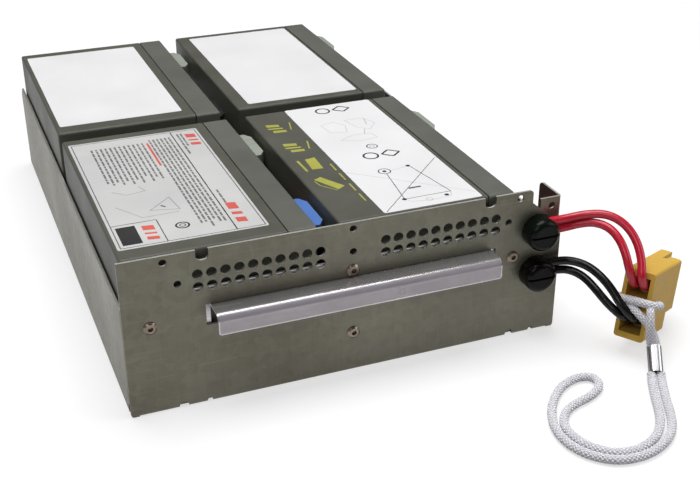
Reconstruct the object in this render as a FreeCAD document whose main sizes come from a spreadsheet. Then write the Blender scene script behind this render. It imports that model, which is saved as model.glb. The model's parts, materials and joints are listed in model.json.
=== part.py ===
"""Battery cartridge for a rack UPS: a folded sheet-metal tray with four sealed blocks.

Frame: +Z up, millimetres. The origin is the middle of the tray's underside. The front panel
faces -Y and the leads come out at its right-hand end, towards +X.
"""

import FreeCAD, Part, Sketcher

import math
import os

from FreeCAD import Placement, Rotation, Vector

DOCUMENT_NAME = "battery_cartridge"
SHEET_NAME = "Sizes"

# ---------------------------------------------------------------------------------------
# Driving dimensions, in millimetres, degrees or as a count
# ---------------------------------------------------------------------------------------
SIZES = {
    # tray: one blank of zinc-plated steel
    "sheet": 1.2,
    "bend_inside": 0.5,
    "panel_height": 82.0,
    "wall_height": 57.0,
    "rear_lip_height": 20.0,
    "fold_gap": 0.3,
    "panel_corner_round": 2.0,
    "panel_foot": 0.3,
    "panel_foot_round": 1.5,
    "bend_relief": 4.0,
    "left_flange_width": 18.0,
    "right_flange_width": 12.0,
    "ear_height": 75.5,
    "ear_depth": 20.0,
    "ear_corner_round": 3.0,
    "flange_foot": 6.0,
    "wall_end_chamfer": 6.0,
    # cut-outs of the front panel: a place with left in its name is measured from the left
    # edge, the middle ones from the panel's middle and the others from the right edge
    "vent_diameter": 5.0,
    "vent_pitch": 6.6,
    "vent_columns": 10,
    "vent_rows": 2,
    "vent_left_start": 36.1,
    "vent_right_start": 37.8,
    "vent_top_height": 69.8,
    "notch_width": 6.0,
    "notch_depth": 5.4,
    "notch_left": 38.8,
    "notch_right": 41.2,
    "screw_hole_diameter": 3.6,
    "screw_hole_left": 26.7,
    "screw_hole_right": 30.6,
    "screw_hole_height": 66.6,
    "middle_hole": -1.0,
    "top_hole_left": 20.7,
    "top_hole_right": 24.6,
    "top_hole_height": 78.6,
    "corner_cut_start": 17.4,
    "corner_cut_depth": 7.0,
    "corner_cut_slope_end": 60.5,
    "ear_hole_inset": 5.5,
    "ear_hole_drop": 4.5,
    "slot_start": 37.0,
    "slot_length": 150.0,
    "slot_height": 11.0,
    "slot_top": 53.4,
    "relief_large": 5.0,
    "relief_small": 3.2,
    "relief_left": 25.7,
    "relief_right": 26.1,
    "relief_spacing": 12.8,
    "relief_height": 0.8,
    # pull handle: a plate behind the panel with a lip lanced out through the slot
    "handle_plate_start": 22.0,
    "handle_plate_gap": 0.7,
    "handle_plate_bottom": 14.0,
    "handle_plate_top": 62.0,
    "handle_end_clearance": 2.5,
    "handle_top_clearance": 0.4,
    "handle_reach": 12.0,
    "handle_drop": 10.2,
    "handle_bend": 4.0,
    "handle_edge_round": 1.5,
    # blind rivets
    "rivet_head_diameter": 6.5,
    "rivet_head_height": 1.1,
    "rivet_shank_diameter": 3.2,
    "rivet_recess_diameter": 2.6,
    "rivet_tail_diameter": 4.6,
    "rivet_tail_length": 1.0,
    "rivet_clearance": 0.1,
    "rivet_left": 12.5,
    "rivet_left_height": 46.6,
    "rivet_right": 27.0,
    "rivet_upper_height": 56.6,
    "rivet_lower_height": 22.0,
    # foam pads between the tray's floor and the batteries
    "pad_height": 14.8,
    "pad_width": 22.0,
    "pad_inset": 12.0,
    "pad_side_inset": 1.0,
    # one sealed battery, lying on its long side with its lid to the right
    "battery_length": 151.0,
    "battery_height": 93.5,
    "battery_width": 65.0,
    "lid_height": 14.0,
    "lid_seam": 0.8,
    "seam_depth": 0.9,
    "case_round": 1.5,
    "case_foot_round": 1.2,
    "lid_round": 0.9,
    "cover_length": 74.0,
    "cover_width": 22.0,
    "cover_height": 0.8,
    "battery_side_gap": 0.8,
    "battery_front_gap": 1.3,
    "column_gap": 11.0,
    "row_gap": 12.0,
    "lead_lane": 24.8,
    "rear_gap": 10.8,
    # terminals and their insulating boots
    "terminal_inset": 20.0,
    "terminal_drop": 12.0,
    "recess_length": 18.0,
    "recess_width": 14.0,
    "recess_depth": 3.0,
    "foot_length": 12.0,
    "foot_width": 9.0,
    "foot_thickness": 1.0,
    "tab_width": 6.35,
    "tab_thickness": 0.8,
    "tab_height": 6.3,
    "boot_length": 32.0,
    "boot_overhang": 7.0,
    "boot_height": 8.9,
    "boot_width": 12.0,
    "low_boot_height": 7.0,
    "low_boot_width": 8.4,
    "boot_chamfer": 3.0,
    "boot_seat": 0.3,
    "boot_bore_height": 3.1,
    "boot_bore_depth": 3.0,
    "fit_clearance": 0.1,
    # leads and their strain reliefs
    "lead_diameter": 4.4,
    "lead_spacing": 0.6,
    "grommet_position": 14.0,
    "grommet_upper_height": 59.6,
    "grommet_lower_height": 36.1,
    "grommet_head_diameter": 17.3,
    "grommet_head_height": 10.0,
    "grommet_head_round": 3.5,
    "grommet_neck_diameter": 12.6,
    "grommet_collar_diameter": 16.4,
    "grommet_collar_length": 3.0,
    "grommet_groove_width": 1.2,
    "grommet_groove_depth": 1.6,
    "lead_outlet_reach": 4.0,
    "lead_outlet_rise": 3.0,
    "lead_outlet_depth": 5.5,
    "lead_straight_out": 9.9,
    "lead_straight_in": 9.0,
    # two-pole power plug: its place is measured from the panel's right-hand lower corner
    "plug_x": 22.3,
    "plug_y": -38.2,
    "plug_z": 28.1,
    "plug_heading": 33.0,
    "plug_droop": 11.7,
    "plug_length": 47.6,
    "plug_body_length": 38.0,
    "plug_short_length": 28.0,
    "plug_width": 36.6,
    "plug_thickness": 15.7,
    "plug_edge_round": 1.6,
    "plug_step": 8.4,
    "pole_offset": 9.3,
    "cavity_width": 11.6,
    "cavity_thickness": 11.4,
    "cavity_depth": 24.0,
    "tongue_gap_low": 0.85,
    "tongue_gap_high": 1.5,
    "tongue_gap_start": 33.0,
    "window_width": 9.0,
    "waist_width": 5.0,
    "waist_depth": 3.0,
    "waist_bar": 3.0,
    "waist_eye": 6.0,
    "barrel_width": 10.5,
    "barrel_thickness": 6.0,
    "barrel_length": 12.0,
    "tongue_width": 8.0,
    "tongue_thickness": 1.6,
    "tongue_end": 40.0,
    # pull cord of the plug
    "cord_diameter": 4.5,
    "floor_gap": 0.05,
    "hitch_slack": 0.3,
    "hitch_bulge": 1.45,
    "knot_diameter": 10.0,
    "ferrule_width": 7.2,
    "ferrule_thickness": 5.6,
    "ferrule_wall": 0.4,
}


class Size:
    """A number that keeps the spreadsheet formula it was worked out with."""

    def __init__(self, value, formula):
        self.value = float(value)
        self.formula = formula

    @staticmethod
    def of(number):
        """Return number itself if it is a Size, or a Size that holds the plain number."""
        if isinstance(number, Size):
            return number
        return Size(number, repr(float(number)))

    def _join(self, other, sign, value):
        return Size(value, f"({self.formula} {sign} {other.formula})")

    def __add__(self, other):
        other = Size.of(other)
        return self._join(other, "+", self.value + other.value)

    def __radd__(self, other):
        return Size.of(other) + self

    def __sub__(self, other):
        other = Size.of(other)
        return self._join(other, "-", self.value - other.value)

    def __rsub__(self, other):
        return Size.of(other) - self

    def __mul__(self, other):
        other = Size.of(other)
        return self._join(other, "*", self.value * other.value)

    def __rmul__(self, other):
        return Size.of(other) * self

    def __truediv__(self, other):
        other = Size.of(other)
        return self._join(other, "/", self.value / other.value)

    def __neg__(self):
        return Size.of(0) - self

    def __float__(self):
        return self.value


class Sizes:
    """The dimensions and totals as attributes, each a Size bound to its cell."""

    def __init__(self, doc):
        sheet = doc.addObject("Spreadsheet::Sheet", SHEET_NAME)
        for row, (alias, value) in enumerate(SIZES.items(), start=1):
            sheet.set(f"A{row}", alias)
            sheet.set(f"B{row}", str(value))
            sheet.setAlias(f"B{row}", alias)
            setattr(self, alias, Size(value, f"{SHEET_NAME}.{alias}"))
        doc.recompute()
        # the tray is made round the batteries, so its outside is a total of what lies in
        # it: the lane on the right is for the leads, and the front sheet is folded double
        batteries_wide = 2 * self.battery_height + self.column_gap
        batteries_deep = 2 * self.battery_length + self.row_gap
        self.tray_width = (
            2 * self.sheet + self.battery_side_gap + batteries_wide + self.lead_lane
        )
        self.tray_depth = (
            3 * self.sheet
            + self.fold_gap
            + self.battery_front_gap
            + batteries_deep
            + self.rear_gap
        )


# ---------------------------------------------------------------------------------------
# Modelling helpers
# ---------------------------------------------------------------------------------------
def bind(item, name, size):
    """Set a property or constraint of item to size and keep the formula with it."""
    item.setExpression(name, Size.of(size).formula)


def new_body(doc, label, place=None):
    """Add an empty PartDesign body, moved to place = (x, y, z) by formulas."""
    body = doc.addObject("PartDesign::Body", label)
    body.Label = label
    for axis, size in zip("xyz", place or ()):
        bind(body, f"Placement.Base.{axis}", size)
    return body


def new_sketch(body, name, role, offset=0.0):
    """Add a sketch on one of the body's origin planes, moved along its normal by offset."""
    sketch = body.newObject("Sketcher::SketchObject", name)
    planes = {item.Role: item for item in body.Origin.OriginFeatures}
    sketch.AttachmentSupport = (planes[role], "")
    sketch.MapMode = "FlatFace"
    bind(sketch, "AttachmentOffset.Base.z", offset)
    return sketch


def fix_point(sketch, geometry, point, x, y):
    """Hold one point of a sketch element at the distances x and y from the origin."""
    for kind, size in (("DistanceX", x), ("DistanceY", y)):
        size = Size.of(size)
        number = sketch.addConstraint(
            Sketcher.Constraint(kind, -1, 1, geometry, point, size.value)
        )
        sketch.setExpression(f"Constraints[{number}]", size.formula)


def add_line(sketch, start, end):
    """Draw a straight line and hold both of its ends by formulas; return its number."""
    points = [Vector(float(Size.of(x)), float(Size.of(y)), 0) for x, y in (start, end)]
    number = sketch.addGeometry(Part.LineSegment(*points), False)
    fix_point(sketch, number, 1, *start)
    fix_point(sketch, number, 2, *end)
    return number


def add_bend(sketch, before, after, corner, radius):
    """Round a square corner between two lines, each given as its number and its end."""
    start, end, tip = (
        Vector(float(Size.of(x)), float(Size.of(y)), 0)
        for x, y in (before[1], after[1], corner)
    )
    centre = start + end - tip
    from_centre = start - centre
    begin = math.atan2(from_centre.y, from_centre.x)
    left_turn = (tip - start).cross(end - tip).z > 0
    if not left_turn:
        begin -= math.pi / 2
    circle = Part.Circle(centre, Vector(0, 0, 1), radius.value)
    arc = Part.ArcOfCircle(circle, begin, begin + math.pi / 2)
    number = sketch.addGeometry(arc, False)
    joins = ((before[0], 2), (after[0], 1))
    for place, (line, point) in zip((1, 2) if left_turn else (2, 1), joins):
        sketch.addConstraint(
            Sketcher.Constraint("Coincident", number, place, line, point)
        )
    held = sketch.addConstraint(Sketcher.Constraint("Radius", number, radius.value))
    sketch.setExpression(f"Constraints[{held}]", radius.formula)


def step_towards(corner, other, distance):
    """Return the point at distance from a corner along an upright or level side."""
    x, y = corner
    dx = float(Size.of(other[0] - x))
    dy = float(Size.of(other[1] - y))
    if abs(dx) > abs(dy):
        return x + math.copysign(1, dx) * distance, y
    return x, y + math.copysign(1, dy) * distance


def add_polygon(sketch, corners):
    """Draw a closed outline through corners, each held by formulas.

    A corner is (x, y), or (x, y, radius) for a square corner that is rounded.
    """
    arrive = []
    leave = []
    count = len(corners)
    for i, (x, y, *rounding) in enumerate(corners):
        if rounding:
            arrive.append(step_towards((x, y), corners[i - 1], rounding[0]))
            leave.append(step_towards((x, y), corners[(i + 1) % count], rounding[0]))
        else:
            arrive.append((x, y))
            leave.append((x, y))
    lines = [
        add_line(sketch, leave[i], arrive[(i + 1) % count]) for i in range(count)
    ]
    for i, (x, y, *rounding) in enumerate(corners):
        if rounding:
            before = (lines[i - 1], arrive[i])
            after = (lines[i], leave[i])
            add_bend(sketch, before, after, (x, y), Size.of(rounding[0]))


def add_rectangle(sketch, left, bottom, right, top):
    """Draw an upright rectangle."""
    add_polygon(sketch, [(left, bottom), (right, bottom), (right, top), (left, top)])


def add_circle(sketch, x, y, diameter):
    """Draw a circle with its centre at x, y."""
    centre = Vector(float(Size.of(x)), float(Size.of(y)), 0)
    diameter = Size.of(diameter)
    number = sketch.addGeometry(
        Part.Circle(centre, Vector(0, 0, 1), diameter.value / 2), False
    )
    fix_point(sketch, number, 3, x, y)
    held = sketch.addConstraint(
        Sketcher.Constraint("Diameter", number, diameter.value)
    )
    sketch.setExpression(f"Constraints[{held}]", diameter.formula)


def extrude(body, kind, sketch, length, backwards=False, symmetric=False):
    """Add a Pad or a Pocket of the sketch, and check that it changed the solid."""
    before = body.Shape.Volume if body.Tip else 0.0
    feature = body.newObject(f"PartDesign::{kind}", f"{sketch.Name}_{kind.lower()}")
    feature.Profile = sketch
    feature.Type = "Length"
    bind(feature, "Length", length)
    feature.Reversed = backwards
    feature.SideType = "Symmetric" if symmetric else "One side"
    body.Tip = feature
    body.Document.recompute()
    change = body.Shape.Volume - before
    if (change if kind == "Pad" else -change) < 0.001:
        raise ValueError(f"{feature.Name} changed nothing")
    return feature


def pad(body, sketch, length, **options):
    """Add material from a sketch."""
    return extrude(body, "Pad", sketch, length, **options)


def pocket(body, sketch, length, **options):
    """Take material away from a sketch."""
    return extrude(body, "Pocket", sketch, length, **options)


def round_edges(body, name, radius, wanted, kind="Fillet"):
    """Round or chamfer the edges of the body's last feature that wanted(edge) picks."""
    base = body.Tip
    names = [
        f"Edge{number}"
        for number, edge in enumerate(base.Shape.Edges, start=1)
        if wanted(edge)
    ]
    if not names:
        raise ValueError(f"{name} found no edge")
    feature = body.newObject(f"PartDesign::{kind}", name)
    feature.Base = (base, names)
    bind(feature, "Radius" if kind == "Fillet" else "Size", radius)
    body.Tip = feature
    body.Document.recompute()
    return feature


def along(edge, axis):
    """Say whether a straight edge runs along axis, which is "x", "y" or "z"."""
    if not isinstance(edge.Curve, Part.Line):
        return False
    direction = edge.Curve.Direction
    return abs(abs(getattr(direction, axis)) - 1) < 1e-6


def near(edge, **places):
    """Say whether the middle of an edge lies at the given x, y or z."""
    middle = edge.CenterOfMass
    return all(
        abs(getattr(middle, axis) - float(Size.of(size))) < 0.02
        for axis, size in places.items()
    )


# ---------------------------------------------------------------------------------------
# Tray
# ---------------------------------------------------------------------------------------
class Layout:
    """Places that several pieces share, worked out from the driving dimensions."""

    def __init__(self, s):
        self.right = s.tray_width / 2
        self.left = -self.right
        self.front = -s.tray_depth / 2
        self.grip = 2 * s.sheet + s.fold_gap
        self.bend_outside = s.bend_inside + s.sheet
        # the second layer of sheet behind the panel: wall flanges and handle plate
        self.layer_front = self.front + s.sheet + s.fold_gap
        self.layer_back = self.layer_front + s.sheet
        self.rivets = [
            (self.left + s.rivet_left, s.rivet_left_height),
            (self.right - s.rivet_right, s.rivet_left_height),
            (s.middle_hole, s.rivet_upper_height),
            (s.middle_hole, s.rivet_lower_height),
        ]
        self.grommet_x = self.right - s.grommet_position
        self.grommets = {
            "upper": s.grommet_upper_height,
            "lower": s.grommet_lower_height,
        }
        slot_end = self.right - s.slot_start
        self.slot = (slot_end - s.slot_length, slot_end)
        self.lip_top = s.slot_top - s.handle_top_clearance
        # battery places: columns along X, rows along Y
        column = s.battery_height + s.column_gap
        row = s.battery_length + s.row_gap
        first_x = self.left + s.sheet + s.battery_side_gap
        first_y = self.layer_back + s.battery_front_gap
        self.columns = {"left": first_x, "right": first_x + column}
        self.rows = {"front": first_y, "rear": first_y + row}
        self.lid_faces = {
            name: x + s.battery_height for name, x in self.columns.items()
        }
        self.battery_floor = s.sheet + s.pad_height
        self.terminal_z = self.battery_floor + s.battery_width - s.terminal_drop
        self.lead_pitch = s.lead_diameter + s.lead_spacing
        self.row_ends = {
            "front": s.terminal_inset,
            "back": s.battery_length - s.terminal_inset,
        }
        self.corner = Vector(self.right.value, self.front.value, 0)
        self.plug = Placement(
            self.corner + Vector(s.plug_x.value, s.plug_y.value, s.plug_z.value),
            Rotation(Vector(0, 0, 1), s.plug_heading.value)
            * Rotation(Vector(0, 1, 0), s.plug_droop.value),
        )

    def bore_x(self, s, column):
        """Return the X of the lead in the boots of one column."""
        return self.lid_faces[column] + s.boot_seat + s.boot_bore_height


def make_tray(doc, s, at):
    """Floor, three folded sides and the tall front panel, from one sheet."""
    body = new_body(doc, "tray")
    half = at.right
    inside = half - s.sheet
    start = at.layer_front + 2 * at.bend_outside
    rear = -at.front - s.sheet - s.fold_gap

    channel = new_sketch(body, "channel", "XZ_Plane", -start)
    add_polygon(
        channel,
        [
            (-half, 0, at.bend_outside),
            (half, 0, at.bend_outside),
            (half, s.wall_height),
            (inside, s.wall_height),
            (inside, s.sheet, s.bend_inside),
            (-inside, s.sheet, s.bend_inside),
            (-inside, s.wall_height),
            (-half, s.wall_height),
        ],
    )
    pad(body, channel, rear - start, backwards=True)

    ear = new_sketch(body, "ear", "YZ_Plane", inside)
    end = at.layer_front + s.ear_depth
    add_polygon(
        ear,
        [
            (start, s.wall_height),
            (end, s.wall_height),
            (end, s.ear_height, s.ear_corner_round),
            (start, s.ear_height),
        ],
    )
    pad(body, ear, s.sheet)

    add_flange(body, s, at, "left_flange", -1, s.left_flange_width, s.wall_height)
    add_flange(body, s, at, "right_flange", 1, s.right_flange_width, s.ear_height)
    add_front(body, s, at)
    add_rear_lip(body, s, at)
    cut_panel(body, s, at)
    trim_wall_ends(body, s, at, rear)
    return body


def add_flange(body, s, at, name, side, width, top):
    """The edge of a side wall, turned in behind the panel. side is -1 for the left."""
    half = at.right * side
    inside = half - side * s.sheet
    inner_end = half - side * width
    back = at.layer_front + 2 * at.bend_outside
    flange = new_sketch(body, name, "XY_Plane", s.flange_foot)
    add_polygon(
        flange,
        [
            (half, back),
            (half, at.layer_front, at.bend_outside),
            (inner_end, at.layer_front),
            (inner_end, at.layer_back),
            (inside, at.layer_back, s.bend_inside),
            (inside, back),
        ],
    )
    pad(body, flange, top - s.flange_foot)


def add_front(body, s, at):
    """The front panel, with the bend at its foot that joins it to the floor."""
    half = at.right
    inner = half - s.bend_relief
    face_back = at.front + s.sheet
    floor_end = at.layer_front + 2 * at.bend_outside
    bend = new_sketch(body, "front_bend", "YZ_Plane")
    add_polygon(
        bend,
        [
            (floor_end, 0),
            (at.front, 0, at.bend_outside),
            (at.front, s.flange_foot),
            (face_back, s.flange_foot),
            (face_back, s.sheet, s.bend_inside),
            (floor_end, s.sheet),
        ],
    )
    pad(body, bend, 2 * inner, symmetric=True)

    cut = at.right - s.corner_cut_start
    panel = new_sketch(body, "panel", "XZ_Plane", -at.front)
    add_polygon(
        panel,
        [
            (-half, s.panel_foot, s.panel_foot_round),
            (-inner, s.panel_foot),
            (-inner, s.flange_foot),
            (inner, s.flange_foot),
            (inner, s.panel_foot),
            (half, s.panel_foot, s.panel_foot_round),
            (half, s.corner_cut_slope_end),
            (cut, s.panel_height - s.corner_cut_depth),
            (cut, s.panel_height, s.panel_corner_round),
            (-half, s.panel_height),
        ],
    )
    pad(body, panel, s.sheet, backwards=True)


def add_rear_lip(body, s, at):
    """The low lip that stops the rear batteries."""
    inner = at.right - s.bend_relief
    back = -at.front
    floor_end = back - 2 * at.bend_outside
    notch = new_sketch(body, "floor_end", "XY_Plane")
    add_rectangle(notch, -inner, floor_end, inner, back)
    pocket(body, notch, s.sheet, backwards=True)
    lip = new_sketch(body, "rear_lip", "YZ_Plane")
    add_polygon(
        lip,
        [
            (floor_end, 0),
            (back, 0, at.bend_outside),
            (back, s.rear_lip_height),
            (back - s.sheet, s.rear_lip_height),
            (back - s.sheet, s.sheet, s.bend_inside),
            (floor_end, s.sheet),
        ],
    )
    pad(body, lip, 2 * inner, symmetric=True)


def trim_wall_ends(body, s, at, rear):
    """Cut the upper rear corners of both side walls at 45 degrees."""
    corners = new_sketch(body, "wall_ends", "YZ_Plane")
    reach = s.wall_end_chamfer
    add_polygon(
        corners,
        [
            (rear - reach, s.wall_height),
            (rear, s.wall_height - reach),
            (rear + reach, s.wall_height - reach),
            (rear + reach, s.wall_height + reach),
            (rear - reach, s.wall_height + reach),
        ],
    )
    pocket(body, corners, s.tray_width + 2, symmetric=True)


def cut_panel(body, s, at):
    """Vents, notches, screw holes, the handle's slot and the bend reliefs."""
    vents = new_sketch(body, "vents", "XZ_Plane", -at.front)
    for start, step in (
        (at.left + s.vent_left_start, s.vent_pitch),
        (at.right - s.vent_right_start, -s.vent_pitch),
    ):
        for column in range(round(s.vent_columns.value)):
            for row in range(round(s.vent_rows.value)):
                x = start + column * step
                z = s.vent_top_height - row * s.vent_pitch
                add_circle(vents, x, z, s.vent_diameter)
    pocket(body, vents, s.sheet)

    holes = new_sketch(body, "holes", "XZ_Plane", -at.front)
    spots = [
        (at.left + s.screw_hole_left, s.screw_hole_height),
        (at.right - s.screw_hole_right, s.screw_hole_height),
        (s.middle_hole, s.screw_hole_height),
        (at.left + s.top_hole_left, s.top_hole_height),
        (at.right - s.top_hole_right, s.top_hole_height),
        (s.middle_hole, s.top_hole_height),
    ]
    for x, z in spots:
        add_circle(holes, x, z, s.screw_hole_diameter)
    pocket(body, holes, s.sheet)

    openings = new_sketch(body, "openings", "XZ_Plane", -at.front)
    add_rectangle(
        openings, at.slot[0], s.slot_top - s.slot_height, at.slot[1], s.slot_top
    )
    pocket(body, openings, s.sheet)

    notches = new_sketch(body, "notches", "XZ_Plane", -at.front)
    for middle in (at.left + s.notch_left, at.right - s.notch_right):
        add_rectangle(
            notches,
            middle - s.notch_width / 2,
            s.panel_height - s.notch_depth,
            middle + s.notch_width / 2,
            s.panel_height + 1,
        )
    pocket(body, notches, s.sheet)
    round_edges(
        body,
        "notch_bottoms",
        s.notch_width * 0.4,
        lambda e: along(e, "y") and near(e, z=s.panel_height - s.notch_depth),
    )

    reliefs = new_sketch(body, "reliefs", "XZ_Plane", -at.front)
    for x in (at.left + s.relief_left, at.right - s.relief_right):
        add_circle(reliefs, x, s.relief_height, s.relief_large)
        add_circle(reliefs, x + s.relief_spacing, s.relief_height, s.relief_small)
    pocket(body, reliefs, at.bend_outside + s.sheet)

    # holes that go through the panel and the flange or plate behind it
    joints = new_sketch(body, "through_holes", "XZ_Plane", -at.front)
    for x, z in at.rivets:
        diameter = s.rivet_shank_diameter + 2 * s.rivet_clearance
        add_circle(joints, x, z, diameter)
    for z in at.grommets.values():
        diameter = s.grommet_neck_diameter + 2 * s.fit_clearance
        add_circle(joints, at.grommet_x, z, diameter)
    pocket(body, joints, at.grip)

    ear_hole = new_sketch(body, "ear_hole", "XZ_Plane", -at.layer_front)
    add_circle(
        ear_hole,
        at.right - s.ear_hole_inset,
        s.ear_height - s.ear_hole_drop,
        s.screw_hole_diameter,
    )
    pocket(body, ear_hole, s.sheet)


# ---------------------------------------------------------------------------------------
# Pull handle and rivets
# ---------------------------------------------------------------------------------------
def make_handle(doc, s, at):
    """The plate behind the panel, with its lip lanced and folded out through the slot."""
    body = new_body(doc, "pull_handle")
    lip_left = at.slot[0] + s.handle_end_clearance
    lip_right = at.slot[1] - s.handle_end_clearance
    web_bottom = at.lip_top - s.sheet
    blank = s.handle_reach + s.handle_drop

    plate = new_sketch(body, "plate", "XZ_Plane", -at.layer_front)
    add_rectangle(
        plate,
        at.left + s.handle_plate_start,
        s.handle_plate_bottom,
        at.grommet_x - s.grommet_neck_diameter / 2 - s.handle_plate_gap,
        s.handle_plate_top,
    )
    pad(body, plate, s.sheet, backwards=True)
    round_edges(
        body, "plate_corners", s.panel_corner_round, lambda e: along(e, "y")
    )

    lance = new_sketch(body, "lance", "XZ_Plane", -at.layer_front)
    add_rectangle(lance, lip_left, at.lip_top - blank, lip_right, web_bottom)
    pocket(body, lance, s.sheet)

    reach = at.front - s.handle_reach
    lip = new_sketch(body, "lip_profile", "YZ_Plane", lip_left)
    add_polygon(
        lip,
        [
            (at.layer_back, at.lip_top),
            (reach, at.lip_top, s.handle_bend),
            (reach, at.lip_top - s.handle_drop),
            (reach + s.sheet, at.lip_top - s.handle_drop),
            (reach + s.sheet, web_bottom, s.handle_bend - s.sheet),
            (at.layer_back, web_bottom),
        ],
    )
    pad(body, lip, lip_right - lip_left)
    round_edges(
        body,
        "lip_corners",
        s.handle_edge_round,
        lambda e: along(e, "y")
        and near(e, y=reach + s.sheet / 2, z=at.lip_top - s.handle_drop),
    )

    holes = new_sketch(body, "plate_holes", "XZ_Plane", -at.layer_front)
    for x, z in at.rivets[1:]:
        diameter = s.rivet_shank_diameter + 2 * s.rivet_clearance
        add_circle(holes, x, z, diameter)
    pocket(body, holes, s.sheet)
    return body


def make_rivets(doc, s, at):
    """Four blind rivets: one through the left flange and three through the handle."""
    copies = []
    for number, (x, z) in enumerate(at.rivets, start=1):
        name = f"rivet_{number}"
        profile = doc.addObject("Sketcher::SketchObject", f"{name}_profile")
        recess = s.rivet_recess_diameter / 2
        add_polygon(
            profile,
            [
                (0, -at.grip - s.rivet_tail_length),
                (s.rivet_tail_diameter / 2, -at.grip - s.rivet_tail_length),
                (s.rivet_tail_diameter / 2, -at.grip),
                (s.rivet_shank_diameter / 2, -at.grip),
                (s.rivet_shank_diameter / 2, 0),
                (s.rivet_head_diameter / 2, 0),
                (s.rivet_head_diameter / 2, s.rivet_head_height * 0.35),
                (s.rivet_head_diameter / 2 * 0.72, s.rivet_head_height),
                (recess, s.rivet_head_height),
                (recess * 0.8, -s.rivet_head_height * 0.3),
                (0, -s.rivet_head_height * 0.3),
            ],
        )
        turned = doc.addObject("Part::Revolution", name)
        turned.Source = profile
        turned.Axis = Vector(0, 1, 0)
        turned.Angle = 360
        turned.Solid = True
        turned.Placement = Placement(
            Vector(0, 0, 0), Rotation(Vector(1, 0, 0), 180)
        )
        bind(turned, "Placement.Base.x", x)
        bind(turned, "Placement.Base.y", at.front)
        bind(turned, "Placement.Base.z", z)
        copies.append(turned)
    group = doc.addObject("Part::Compound", "panel_rivets")
    group.Label = "panel_rivets"
    group.Links = copies
    return group


# ---------------------------------------------------------------------------------------
# Batteries
# ---------------------------------------------------------------------------------------
def make_pads(doc, s, at):
    """Two foam strips under each row of batteries, laid across the tray."""
    made = []
    width = 2 * (s.battery_height - s.pad_side_inset) + s.column_gap
    for row, row_y in at.rows.items():
        inner = s.battery_length - s.pad_inset - s.pad_width
        for side, start in (("front", s.pad_inset), ("back", inner)):
            strip = doc.addObject("Part::Box", f"foam_pad_{row}_{side}")
            strip.Label = f"foam_pad_{row}_{side}"
            bind(strip, "Length", width)
            bind(strip, "Width", s.pad_width)
            bind(strip, "Height", s.pad_height)
            bind(strip, "Placement.Base.x", at.columns["left"] + s.pad_side_inset)
            bind(strip, "Placement.Base.y", row_y + start)
            bind(strip, "Placement.Base.z", s.sheet)
            made.append(strip)
    return made


def make_case(doc, s, label, place):
    """The battery's case, on its side: the opening that the lid closes faces +X."""
    body = new_body(doc, label, place)
    case_height = s.battery_height - s.lid_height - s.lid_seam
    wall = new_sketch(body, "wall", "YZ_Plane")
    add_rectangle(wall, 0, 0, s.battery_length, s.battery_width)
    pad(body, wall, case_height)
    round_edges(body, "wall_corners", s.case_round, lambda e: along(e, "x"))
    round_edges(
        body, "case_foot", s.case_foot_round, lambda e: e.CenterOfMass.x < 0.01
    )
    neck = new_sketch(body, "neck", "YZ_Plane", case_height)
    add_rectangle(
        neck,
        s.seam_depth,
        s.seam_depth,
        s.battery_length - s.seam_depth,
        s.battery_width - s.seam_depth,
    )
    pad(body, neck, s.lid_seam)
    return body


def make_lid(doc, s, at, label, place):
    """The battery's lid, with a recess for each terminal and the valve cover plate."""
    body = new_body(doc, label, place)
    under = s.battery_height - s.lid_height
    top = s.battery_height
    block = new_sketch(body, "block", "YZ_Plane", under)
    add_rectangle(block, 0, 0, s.battery_length, s.battery_width)
    pad(body, block, s.lid_height)
    round_edges(body, "lid_corners", s.case_round, lambda e: along(e, "x"))
    round_edges(body, "lid_edge", s.lid_round, lambda e: near(e, x=top))

    recesses = new_sketch(body, "recesses", "YZ_Plane", top)
    middle_z = s.battery_width - s.terminal_drop
    for y in at.row_ends.values():
        add_rectangle(
            recesses,
            y - s.recess_length / 2,
            middle_z - s.recess_width / 2,
            y + s.recess_length / 2,
            middle_z + s.recess_width / 2,
        )
    pocket(body, recesses, s.recess_depth)

    cover = new_sketch(body, "valve_cover", "YZ_Plane", top)
    middle_y = s.battery_length / 2
    cover_z = s.battery_width / 2
    add_rectangle(
        cover,
        middle_y - s.cover_length / 2,
        cover_z - s.cover_width / 2,
        middle_y + s.cover_length / 2,
        cover_z + s.cover_width / 2,
    )
    pad(body, cover, s.cover_height)
    return body


def make_terminal(doc, s, label, place):
    """One spade terminal: a foot on the recess floor and an upright tab."""
    body = new_body(doc, label, place)
    foot = new_sketch(body, "foot", "YZ_Plane")
    add_rectangle(
        foot, -s.foot_length / 2, -s.foot_width / 2, s.foot_length / 2, s.foot_width / 2
    )
    pad(body, foot, s.foot_thickness)
    tab = new_sketch(body, "tab", "YZ_Plane", s.foot_thickness)
    add_rectangle(
        tab,
        -s.tab_width / 2,
        -s.tab_thickness / 2,
        s.tab_width / 2,
        s.tab_thickness / 2,
    )
    pad(body, tab, s.recess_depth + s.tab_height - s.foot_thickness)
    return body


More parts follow.
